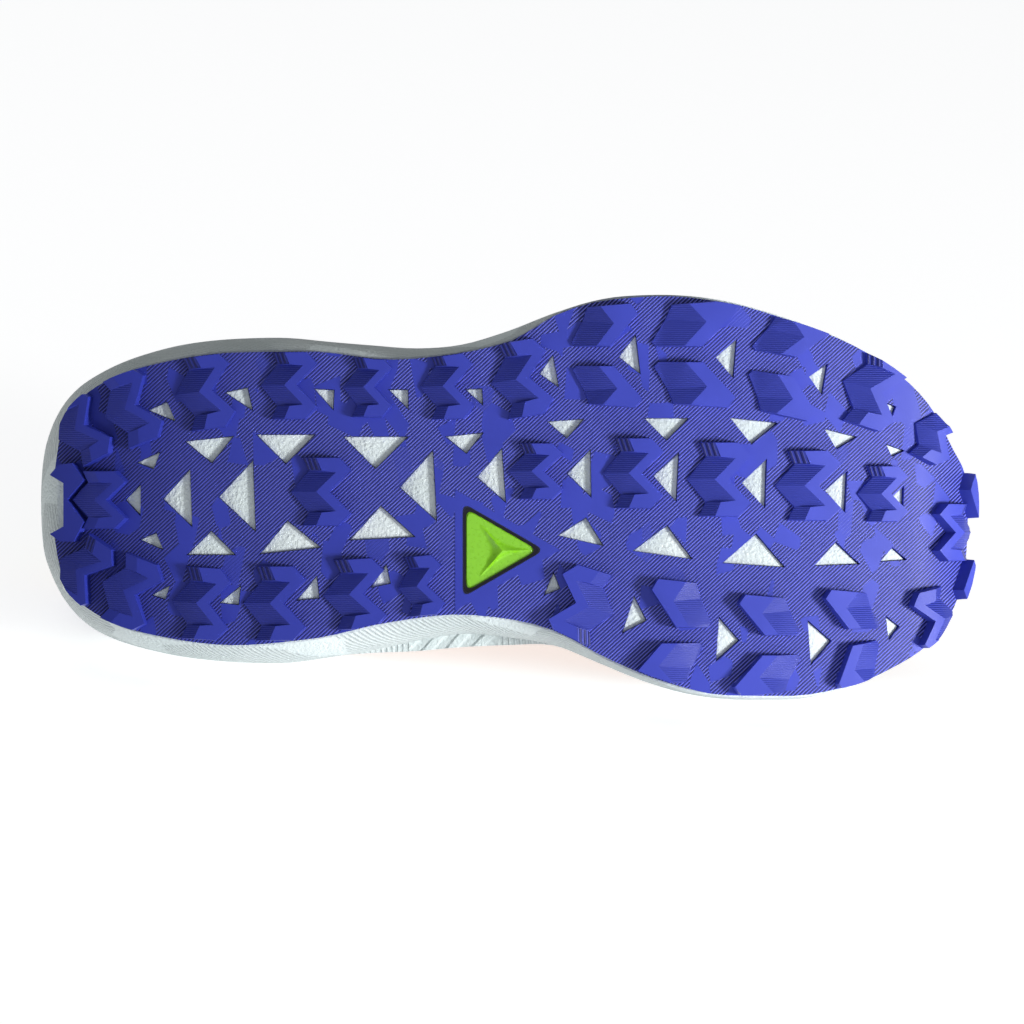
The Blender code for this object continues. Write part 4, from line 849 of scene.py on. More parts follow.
def rubber_material():
    """Blue tread rubber: hatched sheet with smooth patches, smooth lug tops, ribbed ramps, and painted light
    and shade: dark rib grooves, a light line on the rib crests, darker ramps and side steps, lighter towards
    the toe.
    """
    m = Shader("outsole_rubber", (0.03, 0.04, 0.36), 0.45, Specular_IOR_Level=0.30)
    flat = m.uv("flat")
    x, y, _ = m.split(flat)
    u, w, _ = m.split(m.uv("lug"))
    zone = m.attribute("zone")
    is_ramp = m.math("COMPARE", zone, RAMP, 0.3)
    is_sheet = m.math("LESS_THAN", zone, 0.5)

    slant = x * RIB_WAY[0] + y * RIB_WAY[1]
    hatch = m.ramp(m.stripes(slant, PITCH), 0.32, 0.78)
    painted_crest_highlight = m.ramp(m.stripes(slant + RIB_PAINTED_HIGHLIGHT * PITCH, PITCH), 0.68, 0.92)
    patch = m.split(m.cells(m.mapping(flat, PATCHES, math.radians(40.0)), "Color"))[0]
    hatched = m.ramp(patch, 0.20, 0.24) * is_sheet
    badge = None
    for k in range(3):
        turn = math.radians(180.0 + 120.0 * k)
        side = (x - BADGE_CENTRE.x) * math.cos(turn) + (y - BADGE_CENTRE.y) * math.sin(turn)
        badge = side if badge is None else m.math("MAXIMUM", badge, side)
    hatched = hatched * m.ramp(badge, *(BADGE_RADIUS / 2 + away for away in BADGE_HALO))

    on_wing = m.math("LESS_THAN", w, -0.31) * is_ramp
    fine = m.ramp(m.stripes(y, RAMP_PITCH), 0.2, 0.8) * ((is_ramp - on_wing) * 0.40)
    stair = m.ramp(m.stripes(u + w * -0.40, STAIR_PITCH), 0.2, 0.8) * on_wing
    grain = m.noise(flat, 2600.0, 3.0)
    m.bump(hatch * hatched + fine + stair + grain * 0.06, 0.00042)

    # Painted light: the blue is lighter towards the toe and darker towards the heel, as the light falls on
    # the sole.
    blue = m.blend(m.ramp(x, 0.02, 0.29), (0.020, 0.031, 0.30), (0.043, 0.060, 0.45))
    cloud = m.noise(flat, 45.0, 3.0)
    blue = m.blend(m.ramp(cloud, 0.35, 0.75, 0.0, 0.30), blue, (0.016, 0.026, 0.24))
    # Painted shade: the grooves between the ribs are painted near black.
    blue = m.blend((1.0 - hatch) * (hatched * 0.92), blue, (0.001, 0.002, 0.060))
    # Painted highlight: a light line along each rib's crest, fainter towards the heel.
    blue = m.blend(painted_crest_highlight * (hatched * m.ramp(x, 0.03, 0.12, 0.40, 0.95)), blue, (0.24, 0.27, 1.0))
    # Painted shade: the ramps, which face away from the key light, are painted darker.
    blue = m.blend(is_ramp * 0.25, blue, (0.010, 0.015, 0.16))
    # Painted shade: the grooves of the steps on a lug's side ramp are painted near black.
    m.color(m.blend((1.0 - stair) * (on_wing * 0.75), blue, (0.003, 0.004, 0.07)))
    m.rough(m.ramp(grain, 0.3, 0.7, 0.40, 0.56))
    return m.material


def foam_material():
    """Pale foam with an orange peel grain; its side carries patches of slanting ribs, their grooves painted
    darker as shade.
    """
    m = Shader("midsole_foam", (0.60, 0.67, 0.67), 0.55, Specular_IOR_Level=0.35)
    s, h, _ = m.split(m.uv("wrap"))
    peel = m.noise(m.position(), 950.0)
    skewed = m.node("CombineXYZ", X=(s - h * 0.9) * 38.0, Y=h * 62.0)
    patch = m.split(m.cells(skewed, "Color"))
    turn = m.ramp(patch[1], 0.45, 0.46)
    one = m.stripes(s * 0.64 + h * -0.77, 0.00115)
    two = m.stripes(s * 0.17 + h * 0.98, 0.0014)
    shown = m.ramp(patch[0], 0.34, 0.36) * m.attribute("side")
    ribs = m.ramp(one * turn + two * (1.0 - turn), 0.25, 0.8) * shown
    m.bump(ribs + peel * 1.1, 0.00045)
    tint = m.blend(m.ramp(m.noise(m.position(), 30.0), 0.3, 0.7), (0.55, 0.62, 0.62), (0.64, 0.70, 0.70))
    # Painted shade: the grooves between the side's ribs are painted darker.
    m.color(m.blend((1.0 - ribs) * (shown * 0.30), tint, (0.33, 0.38, 0.38)))
    m.rough(m.ramp(peel, 0.3, 0.7, 0.48, 0.66))
    return m.material


def badge_material():
    m = Shader("badge_lime", (0.26, 0.62, 0.03), 0.30, Specular_IOR_Level=0.5, Coat_Weight=0.25,
               Coat_Roughness=0.2)
    grain = m.noise(m.position(), 900.0)
    m.bump(grain, 0.00004, 0.4)
    m.color(m.blend(m.ramp(grain, 0.3, 0.7), (0.19, 0.50, 0.010), (0.21, 0.54, 0.012)))
    m.rough(m.ramp(grain, 0.3, 0.7, 0.26, 0.34))
    return m.material


def recess_shade_material():
    # Near-black navy that stands for the shade in the badge's recess: painted shade.
    m = Shader("recess_painted_shade", (0.001, 0.002, 0.018), 0.38)
    grain = m.noise(m.position(), 1500.0)
    m.bump(grain, 0.00005, 0.6)
    m.color(m.blend(grain, (0.001, 0.002, 0.016), (0.003, 0.004, 0.030)))
    return m.material


def knit_material():
    """Amber engineered mesh with small open eyes over a darker ground."""
    m = Shader("upper_mesh", (0.52, 0.19, 0.02), 0.75, Sheen_Weight=0.25, Sheen_Roughness=0.5)
    cloth = m.uv("cloth")
    s, h, _ = m.split(cloth)
    eyes = m.cells(m.mapping(cloth, (520.0, 420.0, 1.0), math.radians(45.0)), randomness=0.12)
    yarn = m.stripes(s + h, YARN) * m.stripes(s - h, YARN)
    band = m.ramp(m.noise(m.mapping(cloth, (9.0, 26.0, 1.0)), 1.0, 1.0), 0.42, 0.52)
    open_eye = m.ramp(eyes, 0.16, 0.34, 1.0, 0.0) * band
    m.bump(yarn * 0.4 - open_eye, 0.00035, 0.9)
    amber = m.blend(m.ramp(m.noise(cloth, 60.0, 3.0), 0.3, 0.7), (0.36, 0.125, 0.011), (0.42, 0.155, 0.016))
    # Painted highlight: the crests of the yarn are painted lighter.
    amber = m.blend(yarn * 0.25, amber, (0.60, 0.27, 0.045))
    m.color(m.blend(open_eye * 0.8, amber, (0.11, 0.035, 0.010)))
    return m.material


def lining_material():
    m = Shader("lining", (0.02, 0.026, 0.075), 0.85, Sheen_Weight=0.3, Sheen_Roughness=0.5)
    eyes = m.cells(m.mapping(m.position(), (700.0, 700.0, 700.0)), randomness=0.1)
    m.bump(eyes, 0.0003, 0.8)
    m.color(m.blend(m.ramp(eyes, 0.2, 0.5), (0.010, 0.013, 0.040), (0.030, 0.040, 0.115)))
    return m.material


def film_material(name, dark, light):
    """Moulded film of the overlays: satin with a fine diagonal grain."""
    m = Shader(name, dark, 0.45, Specular_IOR_Level=0.4)
    s, h, _ = m.split(m.uv("cloth"))
    grain = m.noise(m.position(), 1400.0)
    m.bump(m.stripes(s + h * 0.8, 0.0013) * 0.5 + grain * 0.4, 0.00012, 0.8)
    m.color(m.blend(m.ramp(m.noise(m.position(), 70.0, 3.0), 0.3, 0.7), dark, light))
    m.rough(m.ramp(grain, 0.3, 0.7, 0.38, 0.55))
    return m.material


def braid_material(name, dark, light, pitch):
    """Braided lace or webbing; cloth coordinates run along and across it."""
    m = Shader(name, light, 0.8, Sheen_Weight=0.2, Sheen_Roughness=0.5)
    s, h, _ = m.split(m.uv("cloth"))
    braid = m.math("MAXIMUM", m.stripes(s + h, pitch), m.stripes(s - h, pitch))
    m.bump(braid, pitch * 0.35, 0.9)
    # Painted shade and highlight: the braid is painted dark in the grooves between its strands and light on
    # their crests.
    m.color(m.blend(m.ramp(braid, 0.35, 0.9), dark, light))
    return m.material


def sockliner_material():
    m = Shader("sockliner", (0.03, 0.04, 0.09), 0.9, Sheen_Weight=0.35, Sheen_Roughness=0.5)
    fuzz = m.noise(m.position(), 1800.0, 4.0, 0.7)
    m.bump(fuzz, 0.0003, 0.8)
    m.color(m.blend(m.ramp(fuzz, 0.3, 0.7), (0.015, 0.020, 0.050), (0.050, 0.065, 0.140)))
    return m.material


def thread_material():
    m = Shader("thread", (0.55, 0.26, 0.05), 0.7)
    twist = m.noise(m.position(), 2500.0, 1.0)
    m.bump(twist, 0.0001, 0.7)
    m.color(m.blend(m.ramp(twist, 0.3, 0.7), (0.50, 0.22, 0.04), (0.75, 0.42, 0.12)))
    return m.material


def eyelet_material():
    m = Shader("eyelet_black", (0.02, 0.02, 0.025), 0.35, Metallic=0.6)
    worn = m.noise(m.position(), 600.0)
    m.color(m.blend(m.ramp(worn, 0.4, 0.7), (0.015, 0.015, 0.020), (0.05, 0.05, 0.06)))
    m.bump(worn, 0.00004, 0.5)
    return m.material


def floor_material():
    m = Shader("pale_floor", (0.66, 0.66, 0.66), 0.8, Emission_Color=(1.0, 1.0, 1.0, 1.0),
               Emission_Strength=0.70)
    speck = m.noise(m.position(), 300.0)
    m.color(m.blend(speck, (0.65, 0.655, 0.655), (0.68, 0.685, 0.685)))
    return m.material


# Outsole.

def lug_solid(shape, row):
    """A lug with drafted sides and its tops and ramps, before the sole is bent."""
    points, count, tops = shape
    along, across, length, width, turn = row
    fall = HEEL_RISE if along < SMOOTH_TO else 1.0
    spin = Matrix.Rotation(math.radians(turn), 2)
    scale = Vector((length * SHOE_LENGTH, width * HALF_WIDTH))
    place_at = Vector((along * SHOE_LENGTH, across * HALF_WIDTH))
    flat = [Vector((u - 0.5, w)) * scale for u, w, _ in points]
    middle = sum(flat[:count], Vector((0.0, 0.0))) / count
    verts = [(*(place_at + spin @ p), -LUG_ROOT) for p in flat[:count]]
    for k, (p, (_, _, rise)) in enumerate(zip(flat, points)):
        if k < count:
            p = p + (middle - p).normalized() * LUG_DRAFT
        verts.append((*(place_at + spin @ p), (1.0 - (1.0 - rise) * fall) * LUG_HEIGHT))
    faces = [tuple(range(count))]
    faces += [(i, (i + 1) % count, count + (i + 1) % count, count + i) for i in range(count)]
    faces += [tuple(count + i for i in face) for face in tops]
    return verts, faces


def fine_sides(point_of, count):
    ts = [unwarp(i / count) for i in range(count + 1)]
    return [point_of(t, 1) for t in ts] + [point_of(t, -1) for t in ts[-2:0:-1]]


def rounded_triangle(reach, corner, steps=5):
    """Triangle round the origin that points along x, its corners rounded."""
    third = 2.0 * math.pi / 3.0
    corners = [Vector((math.cos(k * third), math.sin(k * third))) * reach for k in range(3)]
    points = []
    for i in range(3):
        a = corners[i] + (corners[i - 1] - corners[i]).normalized() * corner
        b = corners[i] + (corners[(i + 1) % 3] - corners[i]).normalized() * corner
        for k in range(steps + 1):
            t = k / steps
            points.append(a * (1 - t) ** 2 + corners[i] * 2 * t * (1 - t) + b * t * t)
    return points


def badge_outline(grow):
    return [tuple(BADGE_CENTRE + p) for p in rounded_triangle(BADGE_RADIUS + grow * 2.0, BADGE_CORNER)]


def bevel(obj, width):
    modifier = obj.modifiers.new("edge", "BEVEL")
    modifier.width = width
    modifier.segments = 2
    modifier.limit_method = "ANGLE"
    modifier.angle_limit = math.radians(12.0)
    apply_modifiers(obj)


ALL_LUGS = [(shape, row) for shape, rows in ((CHEVRON, CHEVRONS), (BLADE, BLADES), (NUB, NUBS))
            for row in rows]


def lug_share(row, x, y):
    """Place of a flat point in a lug's own length and width."""
    along, across, length, width, turn = row
    away = Vector((x - along * SHOE_LENGTH, y - across * HALF_WIDTH))
    local = Matrix.Rotation(-math.radians(turn), 2) @ away
    return local.x / (length * SHOE_LENGTH) + 0.5, local.y / (width * HALF_WIDTH)


def mark_faces(bm, lug_faces):
    """Tell the kinds of face apart, slice the rubber for the bend, and lay its flat and lug UVs."""
    zone = bm.faces.layers.float.new("zone")
    bm.faces.ensure_lookup_table()
    for k, face in enumerate(bm.faces):
        is_top = face.normal.z > 0.97 and face.calc_center_median().z > 0.9 * LUG_HEIGHT
        face[zone] = PLAIN
        if k >= lug_faces:
            if face.normal.z > 0.5:
                face[zone] = SHEET_FACE
        elif face.normal.z > 0.25 and face.calc_area() > RAMP_AREA and not is_top:
            face[zone] = RAMP
    bmesh.ops.triangulate(bm, faces=[f for f in bm.faces if len(f.verts) > 4])
    heel, rocker, toe = FOLDS
    for x in [*np.arange(heel, FLAT_START + 0.001, heel), *np.arange(FLAT_END, ROCKER_END, rocker),
              *np.arange(ROCKER_END, SHOE_LENGTH, toe)]:
        every = bm.verts[:] + bm.edges[:] + bm.faces[:]
        bmesh.ops.bisect_plane(bm, geom=every, dist=0.000001, plane_co=(x, 0, 0), plane_no=(1, 0, 0))
    flat = bm.loops.layers.uv.new("flat")
    own = bm.loops.layers.uv.new("lug")
    for face in bm.faces:
        middle = face.calc_center_median()
        row = None
        if face[zone] > 0.5:
            shares = [(lug_share(r, middle.x, middle.y), r) for _, r in ALL_LUGS]
            row = min(shares, key=lambda s: max(abs(s[0][0] - 0.5), abs(s[0][1])))[1]
        for loop in face.loops:
            x, y, _ = loop.vert.co
            loop[flat].uv = (x, y)
            loop[own].uv = lug_share(row, x, y) if row else (0.0, 0.0)


def build_outsole():
    edge = fine_sides(outsole_edge, FINE_EDGE)
    outlines = [*(window_corners(row) for row in WINDOWS), badge_outline(BADGE_RING), HEEL_NOTCH]
    holes = [prism(outline, -2.0 * SHEET, SHEET) for outline in outlines]
    sheet = new_object("sheet", *prism(edge, -SHEET, 0.0))
    boolean(sheet, new_object("holes", *gather(holes)), "DIFFERENCE")
    bevel(sheet, EDGE * 0.7)
    solids = [lug_solid(*row) for row in ALL_LUGS] + [prism(HEEL_LUG, -LUG_ROOT, LUG_HEIGHT)]
    lugs = new_object("outsole_rubber", *gather(solids))
    tidy(lugs)
    trim = new_object("trim", *prism(inward(edge, LUG_EDGE), -SHEET, 2.0 * LUG_HEIGHT))
    boolean(lugs, trim, "INTERSECT")
    bevel(lugs, EDGE)
    bm = bmesh.new()
    bm.from_mesh(lugs.data)
    lug_faces = len(bm.faces)
    bm.from_mesh(sheet.data)
    bpy.data.objects.remove(sheet, do_unlink=True)
    mark_faces(bm, lug_faces)
    for vert in bm.verts:
        vert.co = bend(*vert.co)
    bm.to_mesh(lugs.data)
    bm.free()
    smooth(lugs, 38)
    lugs.modifiers.new("even", "WEIGHTED_NORMAL").keep_sharp = True
    place(lugs, rubber_material(), slot="outsole", replaces="outsole")


def pyramid_side(a, b, apex):
    """One hollow side of the badge's pyramid, between two corners of its foot and the top."""
    steps = PYRAMID_STEPS
    rise = BADGE_PEAK - BADGE_SIDE
    verts = []
    index = {}
    for j in range(steps + 1):
        for k in range(steps + 1 - j):
            la, lb = j / steps, k / steps
            lc = max(0.0, 1.0 - la - lb)
            sag = BADGE_HOLLOW * (27.0 * la * lb * lc) ** 0.8
            index[(j, k)] = len(verts)
            height = -SHEET + BADGE_SIDE - PYRAMID_SINK + rise * lc - min(sag, rise * lc * 0.9)
            verts.append(Vector((*(a * la + b * lb + apex * lc), height)))
    faces = []
    for j in range(steps):
        for k in range(steps - j):
            faces.append((index[(j, k)], index[(j + 1, k)], index[(j, k + 1)]))
            if k < steps - j - 1:
                faces.append((index[(j + 1, k)], index[(j + 1, k + 1)], index[(j, k + 1)]))
    return verts, faces


def build_badge():
    """Lime badge, a low plate with a hollow-sided pyramid on it, and a near-black sheet in its recess that
    stands for the shade there: painted shade.
    """
    levels = ((0.0, BADGE_BED), (0.0, BADGE_SIDE - BADGE_CHAMFER), (-BADGE_CHAMFER, BADGE_SIDE))
    pieces = [loft([[Vector((*p, -SHEET + up)) for p in badge_outline(grow)] for grow, up in levels])]
    foot = [BADGE_CENTRE + Vector(p) for p in PYRAMID_FOOT]
    apex = BADGE_CENTRE + Vector(PYRAMID_TOP)
    pieces += [pyramid_side(foot[i], foot[(i + 1) % 3], apex) for i in range(3)]
    verts, faces = gather(pieces)
    badge = new_object("badge", [bend(*v) for v in verts], faces)
    tidy(badge)
    smooth(badge, 24)
    place(badge, badge_material(), slot="sole_badge", replaces="sole_badge")
    # Painted shade: a near-black sheet lines the recess round the badge, where only shade falls.
    outer = badge_outline(BADGE_RING - RECESS_GAP)
    inner = badge_outline(BADGE_RING - RECESS_GAP - RECESS_WALL)
    levels = ((outer, -SHEET + RECESS_GAP), (outer, -RECESS_LIP), (inner, -RECESS_LIP),
              (inner, -SHEET + RECESS_GAP + RECESS_WALL))
    shade_liner = new_object("badge_recess_shade", *loft([[bend(*p, up) for p in ring] for ring, up in levels]), 30)
    place(shade_liner, recess_shade_material(), slot="sole_badge")


# Midsole and insole.

def window_corners(row, clear=0.0):
    """Corners of a window, or of one that is smaller by a clearance all round."""
    along, across, base, turn = row
    spin = Matrix.Rotation(math.radians(turn), 2)
    base = base * WINDOW_UNIT
    deep = base * WINDOW_DEPTH_RATIO
    centre = Vector((along * SHOE_LENGTH, across * HALF_WIDTH))
    corners = [Vector((0.0, -base / 2.0)), Vector((deep, 0.0)), Vector((0.0, base / 2.0))]
    middle = Vector((deep / 3.0, 0.0))
    shrink = 1.0 - clear / (base * 0.2)
    return [tuple(centre + spin @ (middle + (c - middle) * shrink)) for c in corners]


def build_window_foam():
    """Foam that stands up in the windows of the rubber."""
    pieces = [prism(window_corners(row, WINDOW_CLEAR), -SHEET - WINDOW_FOOT, -WINDOW_SINK)
              for row in WINDOWS]
    pads = new_object("window_foam", *gather(pieces))
    bevel(pads, WINDOW_ROUND)
    for vert in pads.data.vertices:
        vert.co = bend(*vert.co)
    smooth(pads, 50)
    place(pads, foam_material(), slot="midsole")


def stack_rings(name, rings):
    """Closed body through rings from the bottom up, refined round the shoe, and its grid of points."""
    grid = refine_ring(np.array(rings))
    levels, around = grid.shape[:2]
    faces = []
    for level in range(levels - 1):
        for c in range(around):
            d = (c + 1) % around
            faces.append((level * around + c, level * around + d,
                          (level + 1) * around + d, (level + 1) * around + c))
    for start in (0, (levels - 1) * around):
        for i in range(around // 2):
            quad = [start + k % around for k in (i, i + 1, around - i - 1, around - i)]
            faces.append(tuple(dict.fromkeys(quad)))
    return new_object(name, grid.reshape(-1, 3).tolist(), faces), grid


def build_midsole():
    ground_ring = []
    for c in RINGS:
        i, side = RING_STATION[c], RING_SIDE[c]
        x, y = outsole_edge(STATIONS[i], side)
        grow = 0.0 if i in (0, SEGMENTS) else EDGE_MARGIN
        ground_ring.append(bend(x, y + grow * side, -SHEET - GAP))
    rings = []
    for height, flare_share, set_in in SIDE:
        shape = inward(FLARE_RING, set_in)
        ring = []
        for c in RINGS:
            i, side = RING_STATION[c], RING_SIDE[c]
            low = ground_ring[c]
            share = flare_share
            if side > 0 and 0.0 < height < 0.6:
                share -= ARCH_DEPTH * arch(STATIONS[i]) * flare_share
            ring.append((mix(low.x, shape[c][0], share), mix(low.y, shape[c][1], share),
                         mix(low.z, rim_height(i), height)))
        rings.append(ring)
    crest = inward(FLARE_RING, RIM_INSET)
    foot = bed_ring(0.0)
    rings.append([(crest[c][0], crest[c][1], rim_height(RING_STATION[c]) - CREST_DROP) for c in RINGS])
    rings.append([(mix(crest[c][0], foot[c][0], 0.5), mix(crest[c][1], foot[c][1], 0.5),
                   rim_height(RING_STATION[c]) - RIM_ROUND) for c in RINGS])
    rings.append([(foot[c][0], foot[c][1], bed_height(c)) for c in RINGS])
    midsole, grid = stack_rings("midsole_foam", rings)
    levels, around = grid.shape[:2]
    side_faces = (len(SIDE) - 1) * around
    mesh = midsole.data
    run, climb = (np.concatenate(([0.0], np.cumsum(np.linalg.norm(np.diff(line, axis=0), axis=1))))
                  for line in (grid[WRAP_LEVEL], grid[:, 0]))
    layer = mesh.uv_layers.new(name="wrap")
    share = mesh.attributes.new("side", "FLOAT", "FACE")
    for face in mesh.polygons:
        share.data[face.index].value = 1.0 if face.index < side_faces else 0.0
        columns = [mesh.loops[k].vertex_index % around for k in face.loop_indices]
        for k, column in zip(face.loop_indices, columns):
            s = run[-1] + 0.001 if column == 0 and max(columns) > around // 2 else run[column]
            layer.data[k].uv = (s, climb[min(mesh.loops[k].vertex_index // around, levels - 1)])
    tidy(midsole)
    smooth(midsole, 40)
    for face in mesh.polygons:
        if mesh.attributes["side"].data[face.index].value < 0.5 and face.normal.z < -0.7:
            face.use_smooth = False
    place(midsole, foam_material(), slot="midsole", replaces="midsole")


def build_insole():
    clear = GAP + WALL + INSOLE_INSET
    rings = []
    for set_in, share in INSOLE_SECTIONS:
        ring = bed_ring(clear + set_in)
        rings.append([(ring[c][0], ring[c][1], bed_height(c) + GAP + INSOLE * share) for c in RINGS])
    insole, _ = stack_rings("insole_cloth", rings)
    tidy(insole)
    smooth(insole, 50)
    place(insole, sockliner_material(), slot="insole", replaces="insole")


# Upper.

CLOTH_RUN = 0.78 / FINE_RING     # mean width of a fine column
CLOTH_RISE = 0.085 / ROWS        # mean height of a row of the source


def cloth_uv(obj, coordinates):
    layer = obj.data.uv_layers.new(name="cloth")
    for loop in obj.data.loops:
        layer.data[loop.index].uv = coordinates[loop.vertex_index]


def layer_over(name, columns, first_row, last_row, outer, inner, angle):
    """Closed layer over the upper between two lifts; columns is a list of fine columns in order."""
    whole = len(columns) == FINE_RING
    rows = range(first_row, last_row + 1)
    verts = []
    cloth = []
    for lift in (outer, inner):
        for r in rows:
            for k, c in enumerate(columns):
                key = (r, c % FINE_RING)
                point = Vector(SURFACE[key] + NORMAL[key] * lift)
                if r == 0:
                    point.z = SURFACE[key][2]
                verts.append(point)
                cloth.append((k * CLOTH_RUN, r / FINE * CLOTH_RISE))
    wide = len(columns)
    tall = len(rows)
    sheet = wide * tall
    steps = range(wide if whole else wide - 1)
    faces = []
    inside = []
    for r in range(tall - 1):
        for k in steps:
            n = (k + 1) % wide
            quad = (r * wide + k, r * wide + n, (r + 1) * wide + n, (r + 1) * wide + k)
            faces.append(quad)
            faces.append(tuple(sheet + i for i in reversed(quad)))
            inside += [False, True]
    border = []
    for k in steps:
        n = (k + 1) % wide
        border.append((n, k))
        top = (tall - 1) * wide
        c = columns[k]
        if last_row < FINE_ROWS or not (ridge(c) and ridge(c + 1)):
            border.append((top + k, top + n))
    if not whole:
        for r in range(tall - 1):
            border.append((r * wide, (r + 1) * wide))
            border.append(((r + 1) * wide + wide - 1, r * wide + wide - 1))
    for a, b in border:
        faces.append((a, b, sheet + b, sheet + a))
        inside.append(False)
    obj = new_object(name, verts, faces)
    for face, is_inside in zip(obj.data.polygons, inside):
        face.material_index = 1 if is_inside else 0
    cloth_uv(obj, cloth)
    tidy(obj)
    smooth(obj, angle)
    return obj


def side_prism(outline):
    flat = [(x * SHOE_LENGTH, z * SHOE_LENGTH) for x, z in outline]
    verts, faces = prism(flat, -2.0 * HALF_WIDTH, 2.0 * HALF_WIDTH)
    return new_object("side_cut", [(x, y, z) for x, z, y in verts], faces)


def soft_line(points):
    """Smooth line through the points of a trim."""
    return [*map(tuple, smooth_path([Vector(p) for p in points])[:-1]), points[-1]]


def above_rim(edge):
    """Outline in side view between the midsole's rim and a trim."""
    crest = inward(FLARE_RING, RIM_INSET)[:SEGMENTS + 1]
    rim = []
    for i, (x, _) in enumerate(crest):
        share = x / SHOE_LENGTH
        if edge[0][0] < share < edge[-1][0] and (not rim or share > rim[-1][0]):
            rim.append((share, (rim_height(i) + RIM_CLEAR) / SHOE_LENGTH))
    return [*soft_line(edge), (edge[-1][0], rim[-1][1]), *reversed(rim), (edge[0][0], rim[0][1])]


def overlay_layer(name, columns, first_row, last_row):
    return layer_over(name, list(columns), first_row, last_row, OVERLAY_GAP + OVERLAY, OVERLAY_SEAT,
                      OVERLAY_ANGLE)


def finish_overlay(obj, material, node):
    smooth(obj, OVERLAY_ANGLE)
    obj.data.materials.clear()
    for face in obj.data.polygons:
        face.material_index = 0
    place(obj, material, slot=node, replaces=node)


def build_overlays():
    navy = film_material("overlay_navy", (0.012, 0.020, 0.100), (0.018, 0.028, 0.130))
    amber = film_material("overlay_amber", (0.165, 0.060, 0.008), (0.215, 0.082, 0.012))
    toe = int(column_at(TOE_CAP_FROM, 1))
    heel = int(column_at(COUNTER_TO, 1))
    for node, columns, last_row, trim, material in (
            ("toe_cap", range(toe, FINE_RING - toe + 1), FINE_ROWS - 3, TOE_CAP_TRIM, amber),
            ("heel_counter", range(-heel, heel + 1), FINE_ROWS - 1, COUNTER_TRIM, navy)):
        film = overlay_layer(node + "_film", columns, 2, last_row)
        boolean(film, side_prism(above_rim(trim)), "INTERSECT")
        finish_overlay(film, material, node)
    first, last = int(column_at(EYESTAY_FROM, 1)), int(math.ceil(column_at(EYESTAY_TO, 1)))
    bm = bmesh.new()
    for columns in (range(first, last + 1), range(FINE_RING - last, FINE_RING - first + 1)):
        half = overlay_layer("eyestay_half", columns, FINE_ROWS - 3 * FINE, FINE_ROWS)
        bm.from_mesh(half.data)
        bpy.data.objects.remove(half, do_unlink=True)
    bmesh.ops.remove_doubles(bm, verts=bm.verts, dist=MERGE)
    double = [f for f in bm.faces if all(len(e.link_faces) > 2 for e in f.edges)]
    bmesh.ops.delete(bm, geom=double, context="FACES")
    eyestay = new_object("eyestay_film", [], [])
    bm.to_mesh(eyestay.data)
    bm.free()
    boolean(eyestay, side_prism(soft_line(EYESTAY_TRIM[:-1]) + [EYESTAY_TRIM[-1]]), "INTERSECT")
    tidy(eyestay)
    finish_overlay(eyestay, navy, "eyestay")


def build_upper():
    upper = layer_over("upper_mesh", list(range(FINE_RING)), 0, FINE_ROWS, 0.0, -WALL, 50)
    place(upper, knit_material(), lining_material(), slot="upper", replaces="upper")


def build_collar():
    """Padded roll inside the collar, from the top eyelet round the heel to the other one."""
    end = int(column_at(COLLAR_TO, 1))
    columns = list(range(-end, end + 1))
    loops = []
    cloth = []
    for k, c in enumerate(columns):
        fade = min(1.0, 6.0 * min(k, len(columns) - 1 - k) / len(columns)) ** 0.5
        fade = COLLAR_FLAT + (1.0 - COLLAR_FLAT) * fade
        inner = []
        outer = []
        for j in range(COLLAR_STEPS + 1):
            t = j / COLLAR_STEPS
            row = mix(ROWS - COLLAR_ROWS, ROWS, t)
            bulge = COLLAR_BULGE * fade * math.sin(math.pi * min(t * 0.94 + 0.03, 1.0)) ** 0.6
            inner.append(on_surface(c, row, -WALL - COLLAR_EMBED - bulge))
            outer.append(on_surface(c, row, -WALL + COLLAR_BACK))
        top = on_surface(c, ROWS, -WALL / 2 - COLLAR_TOP) + Vector((0.0, 0.0, COLLAR_RISE))
        loops.append(inner + [top] + outer[::-1])
        cloth += [(k * CLOTH_RUN, j * 0.002) for j in range(len(loops[-1]))]
    collar = new_object("collar_pad", *loft(loops))
    cloth_uv(collar, cloth)
    tidy(collar)
    smooth(collar, 60)
    place(collar, lining_material(), slot="upper")


def stitch(a, b, up):
    """One thread from a to b, thin at its ends."""
    run = b - a
    middle = (a + b) / 2.0
    along = run.normalized()
    across = along.cross(up).normalized()
    lift = across.cross(along)
    half = run.length * STITCH_REACH
    loops = []
    for t, s in STITCH_SHAPE:
        turns = [2.0 * math.pi * k / STITCH_SIDES for k in range(STITCH_SIDES)]
        loops.append([middle + along * half * t + across * STITCH_WIDE * s * math.cos(turn)
                      + lift * STITCH_TALL * s * math.sin(turn) for turn in turns])
    return loft(loops)


def seam(columns, row, lift):
    """Stitches at an even pitch along a row of the upper."""
    points = [on_surface(c, row, lift) for c in columns]
    normals = [normal_at(c, row) for c in columns]
    run = [0.0]
    for p, q in zip(points, points[1:]):
        run.append(run[-1] + (q - p).length)
    count = int(run[-1] / STITCH_PITCH)
    at = np.linspace(0.0, run[-1], count + 1)
    table = np.array([p[:] for p in points])
    path = [Vector([np.interp(t, run, table[:, k]) for k in range(3)]) for t in at]
    nearest = [min(int(np.searchsorted(run, t)), len(normals) - 1) for t in at]
    return [stitch(path[k], path[k + 1], normals[nearest[k]]) for k in range(count)]


